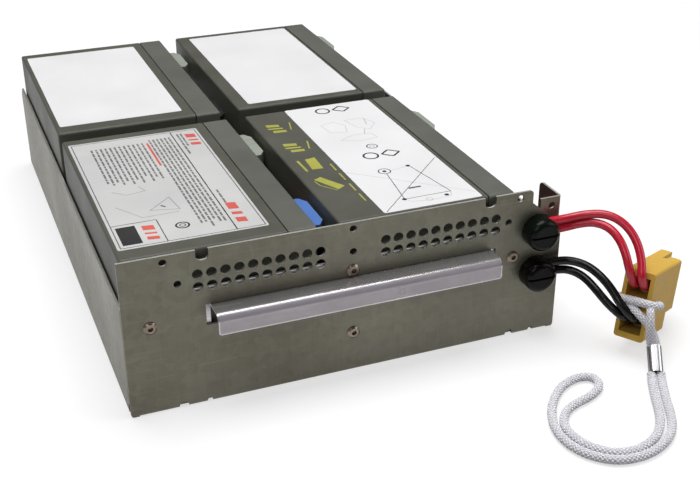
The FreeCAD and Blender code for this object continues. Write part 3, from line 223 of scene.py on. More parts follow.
class EffectShelf:
    """Builds each effect's node group once and places it in materials."""

    def __init__(self) -> None:
        """Start with no group built."""
        self.groups: dict[Effect, bpy.types.NodeTree] = {}

    def place(
        self, sketch: NodeSketch, effect: Effect, **values: float
    ) -> bpy.types.Node:
        """Put an effect into a material.

        Args:
            sketch: The material's nodes.
            effect: The effect to place.
            values: The group's inputs, with spaces in their names as underscores.

        Returns:
            The group node.
        """
        if effect not in self.groups:
            self.groups[effect] = self._build(effect)
        node = sketch.add("ShaderNodeGroup", node_tree=self.groups[effect])
        for name, value in values.items():
            node.inputs[name.replace("_", " ").capitalize()].default_value = value
        return node

    def _build(self, effect: Effect) -> bpy.types.NodeTree:
        """Build the group of one effect.

        Args:
            effect: The effect to build.

        Returns:
            The new node group.
        """
        recipe = {
            Effect.GRAIN: self._grain,
            Effect.SPANGLE: self._spangle,
            Effect.SCRATCHES: self._scratches,
            Effect.DUST: self._dust,
            Effect.BRAID: self._braid,
        }[effect]
        return recipe(effect.value)

    @staticmethod
    def _open(
        name: str, inputs: dict[str, float], outputs: Sequence[str]
    ) -> tuple[NodeSketch, bpy.types.Node, bpy.types.Node]:
        """Start a group with number inputs and outputs.

        Args:
            name: The group's name.
            inputs: Input names and their default values.
            outputs: Output names.

        Returns:
            The group's nodes, its input node and its output node.
        """
        tree = bpy.data.node_groups.new(name, "ShaderNodeTree")
        for label, value in inputs.items():
            socket = tree.interface.new_socket(
                label, in_out="INPUT", socket_type="NodeSocketFloat"
            )
            socket.default_value = value
        for label in outputs:
            tree.interface.new_socket(
                label, in_out="OUTPUT", socket_type="NodeSocketFloat"
            )
        sketch = NodeSketch(tree)
        return sketch, sketch.add("NodeGroupInput"), sketch.add("NodeGroupOutput")

    def _grain(self, name: str) -> bpy.types.NodeTree:
        """Fine moulded texture: a height and a slow tone change.

        Args:
            name: The group's name.

        Returns:
            The group.
        """
        sketch, given, result = self._open(
            name, {"Scale": 2500.0, "Tone scale": 25.0}, ("Height", "Tone")
        )
        place = sketch.add("ShaderNodeTexCoord").outputs["Object"]
        fine = sketch.noise(place, given.outputs["Scale"], 2.0)
        slow = sketch.noise(place, given.outputs["Tone scale"], 3.0)
        sketch.join(fine, result.inputs["Height"])
        sketch.join(sketch.spread(slow, 0.3, 0.7), result.inputs["Tone"])
        return sketch.tree

    def _spangle(self, name: str) -> bpy.types.NodeTree:
        """Crystal pattern of zinc plating, with the rolling direction of the sheet.

        Args:
            name: The group's name.

        Returns:
            The group.
        """
        sketch, given, result = self._open(
            name, {"Scale": 300.0}, ("Tone", "Height")
        )
        place = sketch.add("ShaderNodeTexCoord").outputs["Object"]
        cells = sketch.add("ShaderNodeTexVoronoi", feature="F1")
        cells.inputs["Randomness"].default_value = 1.0
        sketch.join(place, cells.inputs["Vector"])
        sketch.join(given.outputs["Scale"], cells.inputs["Scale"])
        grey = sketch.add("ShaderNodeSeparateColor")
        sketch.join(cells.outputs["Color"], grey.inputs["Color"])
        stretch = sketch.add("ShaderNodeMapping")
        stretch.inputs["Scale"].default_value = (900.0, 900.0, 25.0)
        sketch.join(place, stretch.inputs["Vector"])
        lines = sketch.noise(stretch.outputs["Vector"], scale=1.0, detail=2.0)
        cloud = sketch.noise(place, scale=14.0, detail=4.0)
        crystal_share, cloud_share, line_share = 0.12, 0.72, 0.13
        mixed = sketch.math("MULTIPLY", grey.outputs["Red"], crystal_share)
        mixed = sketch.math("ADD", mixed, sketch.math("MULTIPLY", cloud, cloud_share))
        mixed = sketch.math("ADD", mixed, sketch.math("MULTIPLY", lines, line_share))
        sketch.join(sketch.spread(mixed, 0.3, 0.68), result.inputs["Tone"])
        sketch.join(lines, result.inputs["Height"])
        return sketch.tree

    def _scratches(self, name: str) -> bpy.types.NodeTree:
        """Sparse fine scratches in two directions.

        Args:
            name: The group's name.

        Returns:
            The group.
        """
        sketch, given, result = self._open(
            name, {"Amount": 0.5, "Scale": 60.0}, ("Mask",)
        )
        place = sketch.add("ShaderNodeTexCoord").outputs["Object"]
        total: object = 0.0
        for turn in (0.4, 1.9):
            warp = sketch.add("ShaderNodeMapping")
            warp.inputs["Rotation"].default_value = (turn, turn * 0.7, turn)
            warp.inputs["Scale"].default_value = (0.4, 14.0, 14.0)
            sketch.join(place, warp.inputs["Vector"])
            streaks = sketch.noise(warp.outputs["Vector"], given.outputs["Scale"], 1.0)
            thin = sketch.spread(streaks, 0.66, 0.7)
            total = sketch.math("MAXIMUM", thin, total)
        faded = sketch.math("MULTIPLY", total, given.outputs["Amount"])
        sketch.join(faded, result.inputs["Mask"])
        return sketch.tree

    def _dust(self, name: str) -> bpy.types.NodeTree:
        """Dust that lies on faces that look up.

        Args:
            name: The group's name.

        Returns:
            The group.
        """
        sketch, given, result = self._open(name, {"Amount": 0.2}, ("Mask",))
        place = sketch.add("ShaderNodeTexCoord").outputs["Object"]
        facing = sketch.add("ShaderNodeSeparateXYZ")
        sketch.join(sketch.add("ShaderNodeNewGeometry").outputs["Normal"], facing.inputs[0])
        up = sketch.spread(facing.outputs["Z"], 0.2, 0.9)
        cloud = sketch.noise(place, scale=70.0, detail=5.0)
        patches = sketch.spread(cloud, 0.35, 0.75)
        mask = sketch.math("MULTIPLY", up, patches)
        mask = sketch.math("MULTIPLY", mask, given.outputs["Amount"])
        sketch.join(mask, result.inputs["Mask"])
        return sketch.tree

    def _braid(self, name: str) -> bpy.types.NodeTree:
        """Yarns of a braid, from the height that the braided mesh carries; the Tone is low
        in the gaps between yarns, where the cord gets painted shade, and varies a little
        with the fibres.

        Args:
            name: The group's name.

        Returns:
            The group.
        """
        sketch, given, result = self._open(name, {"Scale": 5000.0}, ("Height", "Tone"))
        crest = sketch.add("ShaderNodeAttribute", attribute_name=BraidedTube.ATTRIBUTE)
        place = sketch.add("ShaderNodeTexCoord").outputs["Object"]
        fibres = sketch.noise(place, given.outputs["Scale"], 3.0)
        fluff = sketch.math("MULTIPLY", fibres, 0.5)
        height = sketch.math("ADD", crest.outputs["Fac"], fluff)
        sketch.join(height, result.inputs["Height"])
        # the Tone sets where the painted shade of the gaps between yarns falls
        sketch.join(sketch.spread(height, 0.40, 0.95), result.inputs["Tone"])
        return sketch.tree


SHELF = EffectShelf()


# --------------------------------------------------------------------------------------
# Finishes
# --------------------------------------------------------------------------------------
@dataclass(frozen=True)
class Moulding:
    """A moulded plastic or rubber surface with a fine grain and a little dust."""

    name: str
    colour: Colour
    shade: Colour
    roughness: float = 0.45
    specular: float = 0.5
    grain_scale: float = 2200.0
    grain_depth: float = 0.12
    grain_height: float = 0.0002
    dust: float = 0.0
    wear: float = 0.25

    def material(self) -> bpy.types.Material:
        """Build the material.

        Returns:
            The new material.
        """
        made, sketch, shader = start_material(self.name)
        grain = SHELF.place(sketch, Effect.GRAIN, scale=self.grain_scale)
        scratch = SHELF.place(sketch, Effect.SCRATCHES, amount=self.wear)
        dust = SHELF.place(sketch, Effect.DUST, amount=self.dust)
        colour = sketch.blend(grain.outputs["Tone"], self.shade, self.colour)
        pale = tuple(min(1.0, value * 1.5 + 0.04) for value in self.colour)
        colour = sketch.blend(scratch.outputs["Mask"], colour, pale)
        colour = sketch.blend(dust.outputs["Mask"], colour, DUST_COLOUR)
        sketch.join(colour, shader.inputs["Base Color"])
        rough = sketch.spread(
            grain.outputs["Tone"], 0.0, 1.0, self.roughness - 0.06, self.roughness + 0.06
        )
        sketch.join(rough, shader.inputs["Roughness"])
        shader.inputs["Specular IOR Level"].default_value = self.specular
        height = grain.outputs["Height"]
        add_bump(sketch, shader, height, self.grain_depth, self.grain_height)
        return made


@dataclass(frozen=True)
class PlatedSheet:
    """Zinc-plated steel: a soft spangle, rolling lines, scratches and pale sheared edge
    faces that carry a painted highlight.

    Upward-facing edge faces of the sheet are paler, as bare sheared steel is, and are
    brightened further as a painted highlight of the light from above. This is done from
    edge_low to edge_full, in metres above the tray's underside, so the tray's floor keeps
    the colour of the sheet. A painted dark reflection also darkens the colour where the
    surface turns away from whoever looks at it, as far as its setting says.
    """

    name: str
    light: Colour
    dark: Colour
    roughness: float = 0.42
    metallic: float = 0.75
    scratches: float = 0.35
    spangle_scale: float = 260.0
    line_strength: float = 0.02
    line_height: float = 0.0001
    edge_highlight: float = 0.0
    edge_low: float = 0.012
    edge_full: float = 0.016
    painted_rim_reflection: float = 0.0

    def material(self) -> bpy.types.Material:
        """Build the material.

        Returns:
            The new material.
        """
        made, sketch, shader = start_material(self.name)
        spangle = SHELF.place(sketch, Effect.SPANGLE, scale=self.spangle_scale)
        scratch = SHELF.place(sketch, Effect.SCRATCHES, amount=self.scratches)
        colour = sketch.blend(spangle.outputs["Tone"], self.dark, self.light)
        bright = tuple(min(1.0, value * 1.35) for value in self.light)
        colour = sketch.blend(scratch.outputs["Mask"], colour, bright)
        # edge faces that look up turn pale: partly their own bare steel, partly a painted
        # highlight of the light from above
        if self.edge_highlight:
            facing = sketch.add("ShaderNodeSeparateXYZ")
            normal = sketch.add("ShaderNodeNewGeometry").outputs["True Normal"]
            sketch.join(normal, facing.inputs[0])
            edge_highlight_mask = sketch.spread(facing.outputs["Z"], 0.25, 0.7, 0.0, self.edge_highlight)
            place = sketch.add("ShaderNodeSeparateXYZ")
            sketch.join(sketch.add("ShaderNodeTexCoord").outputs["Object"], place.inputs[0])
            above = sketch.spread(place.outputs["Z"], self.edge_low, self.edge_full)
            edge_highlight_mask = sketch.math("MULTIPLY", edge_highlight_mask, above)
            colour = sketch.blend(edge_highlight_mask, colour, PALE_EDGE_AND_HIGHLIGHT_COLOUR)
        # painted dark reflection: the metal's colour darkens towards the dark reflection
        # colour where its surface turns away from the viewer
        if self.painted_rim_reflection:
            rim_reflection_facing = sketch.add("ShaderNodeLayerWeight")
            rim_reflection_facing.inputs["Blend"].default_value = 0.5
            dark = sketch.spread(rim_reflection_facing.outputs["Facing"], 0.30, 0.62, 0.0, self.painted_rim_reflection)
            colour = sketch.blend(dark, colour, PAINTED_RIM_REFLECTION_COLOUR)
        sketch.join(colour, shader.inputs["Base Color"])
        rough = sketch.spread(
            spangle.outputs["Tone"], 0.0, 1.0, self.roughness + 0.08, self.roughness - 0.06
        )
        sketch.join(rough, shader.inputs["Roughness"])
        shader.inputs["Metallic"].default_value = self.metallic
        height = spangle.outputs["Height"]
        add_bump(sketch, shader, height, self.line_strength, self.line_height)
        return made


@dataclass(frozen=True)
class BraidedCord:
    """White braided polyester cord, with painted shade in the gaps between its yarns."""

    name: str
    colour: Colour
    gaps: Colour
    fibre_scale: float = 6500.0
    soiling: float = 0.93
    roughness: float = 0.8
    sheen: float = 0.2
    yarn_strength: float = 0.7
    yarn_height: float = 0.0003

    def material(self) -> bpy.types.Material:
        """Build the material.

        Returns:
            The new material.
        """
        made, sketch, shader = start_material(self.name)
        braid = SHELF.place(sketch, Effect.BRAID, scale=self.fibre_scale)
        grain = SHELF.place(sketch, Effect.GRAIN, tone_scale=90.0)
        soiled = tuple(value * self.soiling for value in self.colour)
        yarn = sketch.blend(grain.outputs["Tone"], soiled, self.colour)
        # painted shade: the gaps between yarns take the darker lavender gap colour
        colour = sketch.blend(braid.outputs["Tone"], self.gaps, yarn)
        sketch.join(colour, shader.inputs["Base Color"])
        shader.inputs["Roughness"].default_value = self.roughness
        shader.inputs["Sheen Weight"].default_value = self.sheen
        height = braid.outputs["Height"]
        add_bump(sketch, shader, height, self.yarn_strength, self.yarn_height)
        return made


@dataclass(frozen=True)
class Film:
    """A clear self-adhesive film."""

    name: str
    colour: Colour
    alpha: float
    roughness: float = 0.12
    ripple_strength: float = 0.1
    ripple_height: float = 0.0002

    def material(self) -> bpy.types.Material:
        """Build the material.

        Returns:
            The new material.
        """
        made, sketch, shader = start_material(self.name)
        grain = SHELF.place(sketch, Effect.GRAIN, scale=400.0, tone_scale=60.0)
        pale = tuple(min(1.0, value * 1.15) for value in self.colour)
        colour = sketch.blend(grain.outputs["Tone"], self.colour, pale)
        sketch.join(colour, shader.inputs["Base Color"])
        shader.inputs["Alpha"].default_value = self.alpha
        shader.inputs["Roughness"].default_value = self.roughness
        height = grain.outputs["Height"]
        add_bump(sketch, shader, height, self.ripple_strength, self.ripple_height)
        return made


def start_material(
    name: str,
) -> tuple[bpy.types.Material, NodeSketch, bpy.types.Node]:
    """Make a node material with its Principled shader.

    Args:
        name: The material's name.

    Returns:
        The material, its nodes and its shader.
    """
    made = bpy.data.materials.new(name)
    made.use_nodes = True
    return made, NodeSketch(made.node_tree), made.node_tree.nodes["Principled BSDF"]


def add_bump(
    sketch: NodeSketch,
    shader: bpy.types.Node,
    height: bpy.types.NodeSocket,
    strength: float,
    distance: float,
) -> None:
    """Feed a height into the shader's normal.

    Args:
        sketch: The material's nodes.
        shader: The Principled shader.
        height: The height's socket.
        strength: The Bump node's strength.
        distance: The height in metres that 1 stands for.
    """
    bump = sketch.add("ShaderNodeBump")
    bump.inputs["Strength"].default_value = strength
    bump.inputs["Distance"].default_value = distance
    sketch.join(height, bump.inputs["Height"])
    sketch.join(bump.outputs["Normal"], shader.inputs["Normal"])


class Finishes:
    """Every material of the cartridge, by name of what it covers."""

    def __init__(self) -> None:
        """Build all of them."""
        self.sheet = PlatedSheet(
            "zinc_sheet",
            (0.192, 0.188, 0.145),
            (0.142, 0.131, 0.101),
            scratches=0.15,
            edge_highlight=0.9,
        ).material()
        self.handle = PlatedSheet(
            "zinc_handle",
            (0.62, 0.60, 0.60),
            (0.46, 0.44, 0.45),
            roughness=0.28,
            scratches=0.5,
        ).material()
        # the rivet heads get a painted dark reflection round their rims
        self.rivet = PlatedSheet(
            "rivet_steel", (0.34, 0.28, 0.22), (0.20, 0.15, 0.11), roughness=0.3, painted_rim_reflection=0.7
        ).material()
        self.foam = Moulding(
            "black_foam", (0.02, 0.02, 0.022), (0.012, 0.012, 0.013), 0.95, 0.2
        ).material()
        self.case = Moulding(
            "case_plastic",
            (0.101, 0.102, 0.084),
            (0.085, 0.086, 0.070),
            roughness=0.48,
            specular=0.28,
            grain_depth=0.2,
            dust=0.05,
            wear=0.04,
        ).material()
        self.lid = Moulding(
            "lid_plastic",
            (0.127, 0.131, 0.113),
            (0.110, 0.113, 0.098),
            roughness=0.48,
            specular=0.28,
            grain_depth=0.2,
            dust=0.05,
            wear=0.04,
        ).material()
        self.boot_grey = Moulding(
            "boot_grey", (0.35, 0.385, 0.325), (0.30, 0.33, 0.28), roughness=0.4, dust=0.05
        ).material()
        self.boot_dark = Moulding(
            "boot_dark", (0.018, 0.018, 0.02), (0.012, 0.012, 0.013), roughness=0.4
        ).material()
        self.boot_blue = Moulding(
            "boot_blue", (0.105, 0.23, 0.60), (0.08, 0.18, 0.50), roughness=0.35
        ).material()
        self.relief_green = Moulding(
            "nylon_green",
            (0.005, 0.008, 0.005),
            (0.003, 0.005, 0.003),
            roughness=0.28,
            specular=0.12,
        ).material()
        self.relief_brown = Moulding(
            "nylon_brown",
            (0.007, 0.006, 0.005),
            (0.004, 0.003, 0.003),
            roughness=0.28,
            specular=0.12,
        ).material()
        self.plug = Moulding(
            "plug_yellow",
            (0.74, 0.47, 0.09),
            (0.66, 0.40, 0.075),
            roughness=0.45,
            specular=0.08,
            wear=0.2,
        ).material()
        self.contact = PlatedSheet(
            "silver_contact", (0.80, 0.78, 0.74), (0.62, 0.60, 0.56), roughness=0.25
        ).material()
        self.lead_red = Moulding(
            "lead_red",
            (0.62, 0.016, 0.045),
            (0.54, 0.012, 0.034),
            roughness=0.26,
            grain_depth=0.1,
        ).material()
        self.lead_black = Moulding(
            "lead_black",
            (0.010, 0.010, 0.009),
            (0.006, 0.006, 0.006),
            roughness=0.24,
            specular=0.25,
        ).material()
        # the second colour is the painted shade of the gaps between the yarns
        self.cord = BraidedCord(
            "white_cord", (0.95, 0.94, 0.97), (0.52, 0.51, 0.58)
        ).material()
        # the ferrule gets a painted dark reflection where it turns away from the viewer
        self.ferrule = PlatedSheet(
            "ferrule_chrome",
            (0.86, 0.86, 0.88),
            (0.74, 0.74, 0.76),
            roughness=0.3,
            metallic=1.0,
            scratches=0.0,
            painted_rim_reflection=1.0,
        ).material()
        self.white_label = Moulding(
            "white_label",
            (0.86, 0.86, 0.87),
            (0.83, 0.83, 0.84),
            roughness=0.4,
            wear=0.0,
        ).material()
        self.grey_label = Moulding(
            "silver_label",
            (0.66, 0.66, 0.65),
            (0.60, 0.60, 0.60),
            roughness=0.35,
            wear=0.05,
        ).material()
        self.black_print = Moulding(
            "black_print", (0.025, 0.025, 0.025), (0.02, 0.02, 0.02), wear=0.0
        ).material()
        self.grey_print = Moulding(
            "grey_print", (0.20, 0.20, 0.20), (0.16, 0.16, 0.16), wear=0.0
        ).material()
        self.pale_print = Moulding(
            "pale_print", (0.55, 0.55, 0.56), (0.48, 0.48, 0.50), wear=0.0
        ).material()
        self.red_print = Moulding(
            "red_print", (0.70, 0.13, 0.10), (0.62, 0.11, 0.085), wear=0.0
        ).material()
        self.lime_print = Moulding(
            "lime_print", (0.46, 0.45, 0.085), (0.38, 0.38, 0.07), wear=0.3
        ).material()
        self.film = Film("clear_film", (0.50, 0.46, 0.52), 0.42).material()


# --------------------------------------------------------------------------------------
# Mesh helpers
# --------------------------------------------------------------------------------------
def put(name: str, mesh: bpy.types.Mesh) -> bpy.types.Object:
    """Add a mesh piece that rides on the cartridge.

    Args:
        name: The piece's name.
        mesh: Its mesh, in metres.

    Returns:
        The new object.
    """
    piece = bpy.data.objects.new(name, mesh)
    bpy.context.scene.collection.objects.link(piece)
    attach(piece, "root")
    LOG.info("%s: %d faces", name, len(mesh.polygons))
    return piece


def dress(node: bpy.types.Object, material: bpy.types.Material) -> None:
    """Give a CAD node its material."""
    node.data.materials.clear()
    node.data.materials.append(material)


class Print(Enum):
    """The colours of a label, in the order of its material slots."""

    GROUND = 0
    BLACK = 1
    GREY = 2
    RED = 3
    PALE = 4


@dataclass
class LabelSheet:
    """A thin self-adhesive label with printed shapes, lying on a battery.

    Places on it are in millimetres from its lower left corner, x across and y towards the
    rear of the tray.
    """

    name: str
    origin: Vector
    width: float
    length: float
    thickness: float = 0.12
    corner: float = 1.2
    print_height: float = 0.02
    ring_steps: int = 20
    disc_steps: int = 12
    grid: bmesh.types.BMesh = field(default_factory=bmesh.new)

    def ground(self) -> None:
        """Build the label's body, a thin sheet with rounded corners."""
        outline = []
        for cx, cy, start in (
            (self.width - self.corner, self.corner, -90),
            (self.width - self.corner, self.length - self.corner, 0),
            (self.corner, self.length - self.corner, 90),
            (self.corner, self.corner, 180),
        ):
            for step in range(5):
                angle = math.radians(start + step * 22.5)
                outline.append(
                    (cx + self.corner * math.cos(angle), cy + self.corner * math.sin(angle))
                )
        bottom = [self.grid.verts.new(self.at(x, y, 0.0)) for x, y in outline]
        top = [self.grid.verts.new(self.at(x, y, self.thickness)) for x, y in outline]
        self.grid.faces.new(top)
        self.grid.faces.new(list(reversed(bottom)))
        count = len(outline)
        for i in range(count):
            after = (i + 1) % count
            self.grid.faces.new((bottom[i], bottom[after], top[after], top[i]))

    def at(self, x: float, y: float, z: float) -> Vector:
        """Turn a place on the label into a point of the scene."""
        return self.origin + Vector((x, y, z)) * MM

    def patch(self, corners: Iterable[tuple[float, float]], ink: Print) -> None:
        """Print a filled shape.

        Args:
            corners: The shape's corners, anticlockwise.
            ink: Its colour.
        """
        height = self.thickness + self.print_height
        verts = [self.grid.verts.new(self.at(x, y, height)) for x, y in corners]
        face = self.grid.faces.new(verts)
        face.material_index = ink.value

    def bar(self, x0: float, y0: float, x1: float, y1: float, ink: Print) -> None:
        """Print an upright rectangle between two corners."""
        self.patch(((x0, y0), (x1, y0), (x1, y1), (x0, y1)), ink)

    def line(
        self,
        start: tuple[float, float],
        end: tuple[float, float],
        width: float,
        ink: Print,
    ) -> None:
        """Print a straight line.

        Args:
            start: One end.
            end: The other end.
            width: The line's width.
            ink: Its colour.
        """
        a, b = Vector(start), Vector(end)
        side = (b - a).normalized().orthogonal() * (width / 2)
        corners = [tuple(point) for point in (a - side, b - side, b + side, a + side)]
        self.patch(corners, ink)

    def path(
        self, points: Sequence[tuple[float, float]], width: float, ink: Print
    ) -> None:
        """Print a line through several points."""
        for start, end in zip(points, points[1:]):
            self.line(start, end, width, ink)

    def frame(
        self, x0: float, y0: float, x1: float, y1: float, width: float, ink: Print
    ) -> None:
        """Print the outline of a rectangle."""
        self.path(((x0, y0), (x1, y0), (x1, y1), (x0, y1), (x0, y0)), width, ink)

    @staticmethod
    def circle(x: float, y: float, radius: float, steps: int) -> list[tuple[float, float]]:
        """Find the corners of a circle.

        Args:
            x: Its middle, across.
            y: Its middle, along.
            radius: Its radius.
            steps: How many corners it has.

        Returns:
            The corners, anticlockwise, with the first once more at the end.
        """
        angles = [2 * math.pi * i / steps for i in range(steps + 1)]
        return [(x + radius * math.cos(a), y + radius * math.sin(a)) for a in angles]

    def ring(self, x: float, y: float, radius: float, width: float, ink: Print) -> None:
        """Print a ring."""
        self.path(self.circle(x, y, radius, self.ring_steps), width, ink)

    def disc(self, x: float, y: float, radius: float, ink: Print) -> None:
        """Print a filled dot."""
        self.patch(self.circle(x, y, radius, self.disc_steps)[:-1], ink)

    def finish(
        self, materials: Sequence[bpy.types.Material], slot: str
    ) -> bpy.types.Object:
        """Turn the label into an object.

        Args:
            materials: The materials in the order of Print.
            slot: Not used.

        Returns:
            The label.
        """
        mesh = bpy.data.meshes.new(self.name)
        self.grid.to_mesh(mesh)
        self.grid.free()
        for material in materials:
            mesh.materials.append(material)
        return put(self.name, mesh)


# --------------------------------------------------------------------------------------
# Sub-assemblies
# --------------------------------------------------------------------------------------
@dataclass
class Tray:
    """The tray, its handle and rivets, and the film on the handle's lip."""

    nodes: dict[str, bpy.types.Object]
    finishes: Finishes
    lip_bend: float = 4.0
    lip_top: float = 53.0
    lip_drop: float = 10.2
    lip_ends: tuple[float, float] = (-71.5, 73.5)
    film_inset: float = 0.6
    film_lift: float = 0.12
    film_columns: int = 60
    film_rows: int = 8
    film_wrap: float = 64.0

    def build(self) -> None:
        """Dress the CAD nodes and lay the film on the lip."""
        dress(self.nodes["tray"], self.finishes.sheet)
        dress(self.nodes["pull_handle"], self.finishes.handle)
        dress(self.nodes["panel_rivets"], self.finishes.rivet)
        for name, node in self.nodes.items():
            if name.startswith("foam_pad"):
                dress(node, self.finishes.foam)
        self.film()

    def film(self) -> None:
        """Lay a clear film over the lip's front face and round its bend."""
        low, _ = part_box("pull_handle")
        front = low.y / MM
        middle_y = front + self.lip_bend
        middle_z = self.lip_top - self.lip_bend
        radius = self.lip_bend + self.film_lift
        profile = [(front - self.film_lift, self.lip_top - self.lip_drop + self.film_inset)]
        for step in range(self.film_rows + 1):
            angle = math.radians(180 - step * self.film_wrap / self.film_rows)
            profile.append(
                (middle_y + radius * math.cos(angle), middle_z + radius * math.sin(angle))
            )
        left = self.lip_ends[0] + self.film_inset
        width = self.lip_ends[1] - self.film_inset - left
        mesh = bpy.data.meshes.new("handle_film")
        sheet = bmesh.new()
        rows = []
        for column in range(self.film_columns + 1):
            x = left + width * column / self.film_columns
            # two waves of different length, so the film lies unevenly
            ripple = 0.03 * math.sin(column * 0.9) + 0.02 * math.sin(column * 2.3)
            rows.append(
                [sheet.verts.new(Vector((x, y - abs(ripple), z)) * MM) for y, z in profile]
            )
        for first, second in zip(rows, rows[1:]):
            for index in range(len(profile) - 1):
                sheet.faces.new(
                    (first[index], second[index], second[index + 1], first[index + 1])
                )
        sheet.to_mesh(mesh)
        sheet.free()
        for face in mesh.polygons:
            face.use_smooth = True
        mesh.materials.append(self.finishes.film)
        put("handle_film", mesh)


@dataclass
class BatterySet:
    """The four batteries: cases, lids, terminals, boots, jumpers and labels.

    The small print is rows of bars, in millimetres: word_height high, from word_shortest
    long in steps of word_growth, word_gap apart, and none where word_room isn't left.
    """

    nodes: dict[str, bpy.types.Object]
    finishes: Finishes
    word_height: float = 1.05
    word_shortest: float = 2.2
    word_growth: float = 0.9
    word_gap: float = 0.8
    word_room: float = 3.0

    def build(self) -> None:
        """Dress the CAD nodes and add the labels."""
        for name, node in self.nodes.items():
            if name.startswith("battery_"):
                dress(node, self.material_of(name))
            elif name.startswith("jumper_") or name.startswith("inner_lead_black"):
                dress(node, self.finishes.lead_black)
            elif name.startswith("inner_lead_red"):
                dress(node, self.finishes.lead_red)
        inks = [
            self.finishes.white_label,
            self.finishes.black_print,
            self.finishes.grey_print,
            self.finishes.red_print,
            self.finishes.pale_print,
        ]
        self.plain_label("rear_left", 2.7, 10.0, 70.6, 132.5).finish(inks, "case_plastic")
        self.plain_label("rear_right", 8.1, 6.0, 69.2, 138.6).finish(inks, "case_plastic")
        self.icon_label().finish(inks, "case_plastic")
        inks[0] = self.finishes.grey_label
        self.data_label().finish(inks, "case_plastic")
        self.case_print()

    def material_of(self, name: str) -> bpy.types.Material:
        """Choose the material of one of a battery's nodes.

        Args:
            name: The node's name.

        Returns:
            The material.
        """
        if name.endswith("_case"):
            return self.finishes.case
        if name.endswith("_lid"):
            return self.finishes.lid
        if "_terminal_" in name:
            return self.finishes.contact
        if name.endswith("_boot_back"):
            return self.finishes.boot_grey
        if name == "battery_front_left_boot_front":
            return self.finishes.boot_blue
        return self.finishes.boot_dark

    def corner(self, place: str, inset_x: float, inset_y: float) -> Vector:
        """Find a label's corner on a battery's upper face.

        Args:
            place: The battery's place, such as "rear_left".
            inset_x: The label's distance from the case's bottom edge.
            inset_y: Its distance from the case's front edge.

        Returns:
            The corner.
        """
        low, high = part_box(f"battery_{place}_case")
        return Vector((low.x + inset_x * MM, low.y + inset_y * MM, high.z))

    def plain_label(
        self, place: str, inset_x: float, inset_y: float, width: float, length: float
    ) -> LabelSheet:
        """Lay a plain label on a battery.

        Args:
            place: The battery's place.
            inset_x: Distance from the case's bottom edge.
            inset_y: Distance from the case's front edge.
            width: The label's width.
            length: The label's length.

        Returns:
            The label with its ground built.
        """
        corner = self.corner(place, inset_x, inset_y)
        label = LabelSheet(f"label_{place}", corner, width, length)
        label.ground()
        return label

    def icon_label(self) -> LabelSheet:
        """Lay the white label with line drawings on the front right battery.

        Returns:
            The label.
        """
        label = self.plain_label("front_right", 23.8, 1.2, 52.6, 148.6)
        # a drawing crossed out from corner to corner
        label.line((1.6, 1.0), (51.6, 53.0), 0.35, Print.BLACK)
        label.line((0.8, 52.0), (51.6, 6.4), 0.25, Print.PALE)
        label.path(
            ((19.4, 42.6), (15.4, 11.0), (40.6, 11.4), (34.6, 46.8)), 0.4, Print.BLACK
        )
        label.path(((22.0, 45.4), (33.2, 48.0)), 0.25, Print.PALE)
        label.line((22.4, 22.0), (29.2, 22.2), 1.3, Print.BLACK)
        label.path(
            ((15.4, 10.8), (17.6, 7.2), (28.0, 5.4), (38.4, 6.4), (40.6, 11.2)),
            0.3,
            Print.PALE,
        )
        label.ring(26.8, 6.6, 1.6, 0.35, Print.PALE)
        for x, y in ((15.2, 11.0), (36.8, 8.2), (33.8, 48.2)):
            label.disc(x, y, 1.2, Print.BLACK)
        label.ring(19.6, 46.0, 3.2, 0.55, Print.BLACK)
        label.disc(19.6, 46.0, 1.1, Print.BLACK)
        # a bold ring beside a bold kite, twice, and a small ring
        for x, y in ((16.6, 62.4), (16.2, 134.6)):
            label.ring(x + 4.4, y + 5.2, 4.0, 1.1, Print.BLACK)
            kite = ((x + 10.6, y + 5.2), (x + 15.8, y + 0.8), (x + 21.0, y + 5.2))
            label.path((*kite, (x + 15.8, y + 9.6), kite[0]), 1.1, Print.BLACK)
        label.ring(26.8, 79.8, 2.9, 0.6, Print.BLACK)
        label.ring(26.8, 79.8, 1.3, 0.3, Print.GREY)
        # three folded bands in faint outline
        for outline in (
            ((11.5, 118.5), (13.0, 106.0), (22.0, 104.0), (24.5, 114.0), (20.0, 121.0)),
            ((27.0, 121.5), (38.0, 121.0), (42.0, 112.0), (36.0, 104.0), (30.0, 108.5)),
            ((14.0, 93.5), (22.5, 98.5), (33.5, 97.5), (35.0, 91.0), (24.0, 89.0)),
        ):
            label.path((*outline, outline[0]), 0.3, Print.PALE)
        label.line((30.0, 98.0), (33.0, 105.5), 0.5, Print.PALE)
        label.line((38.5, 120.0), (36.5, 111.0), 0.5, Print.PALE)
        return label

    def data_label(self) -> LabelSheet:
        """Lay the silver label with frames and columns on the front left battery.

        Returns:
            The label.
        """
        label = self.plain_label("front_left", 2.0, 9.8, 71.4, 133.4)
        label.frame(1.6, 1.6, 70.0, 131.8, 0.4, Print.BLACK)
        label.line((56.2, 1.6), (56.2, 131.8), 0.6, Print.BLACK)
        # small print in rows of broken bars that run along the battery
        for row in range(6):
            self.small_print(label, 53.2 - row * 2.2, 9.0 + (row % 3) * 2.5, 125.0, row)
        for row in range(12):
            self.small_print(label, 37.6 - row * 2.5, 70.0 + (row % 2) * 4.0, 122.0, row)
        label.bar(40.2, 88.0, 41.4, 121.0, Print.RED)
        self.small_print(label, 58.6, 98.0, 128.0, 2)
        self.small_print(label, 60.6, 106.0, 128.0, 4)
        self.small_print(label, 58.8, 31.0, 48.0, 1)
        # bold red blocks in the band by the lid
        self.red_blocks(label, 63.0, 109.0, 5.4, 18.6)
        self.red_blocks(label, 58.6, 8.0, 5.0, 25.0)
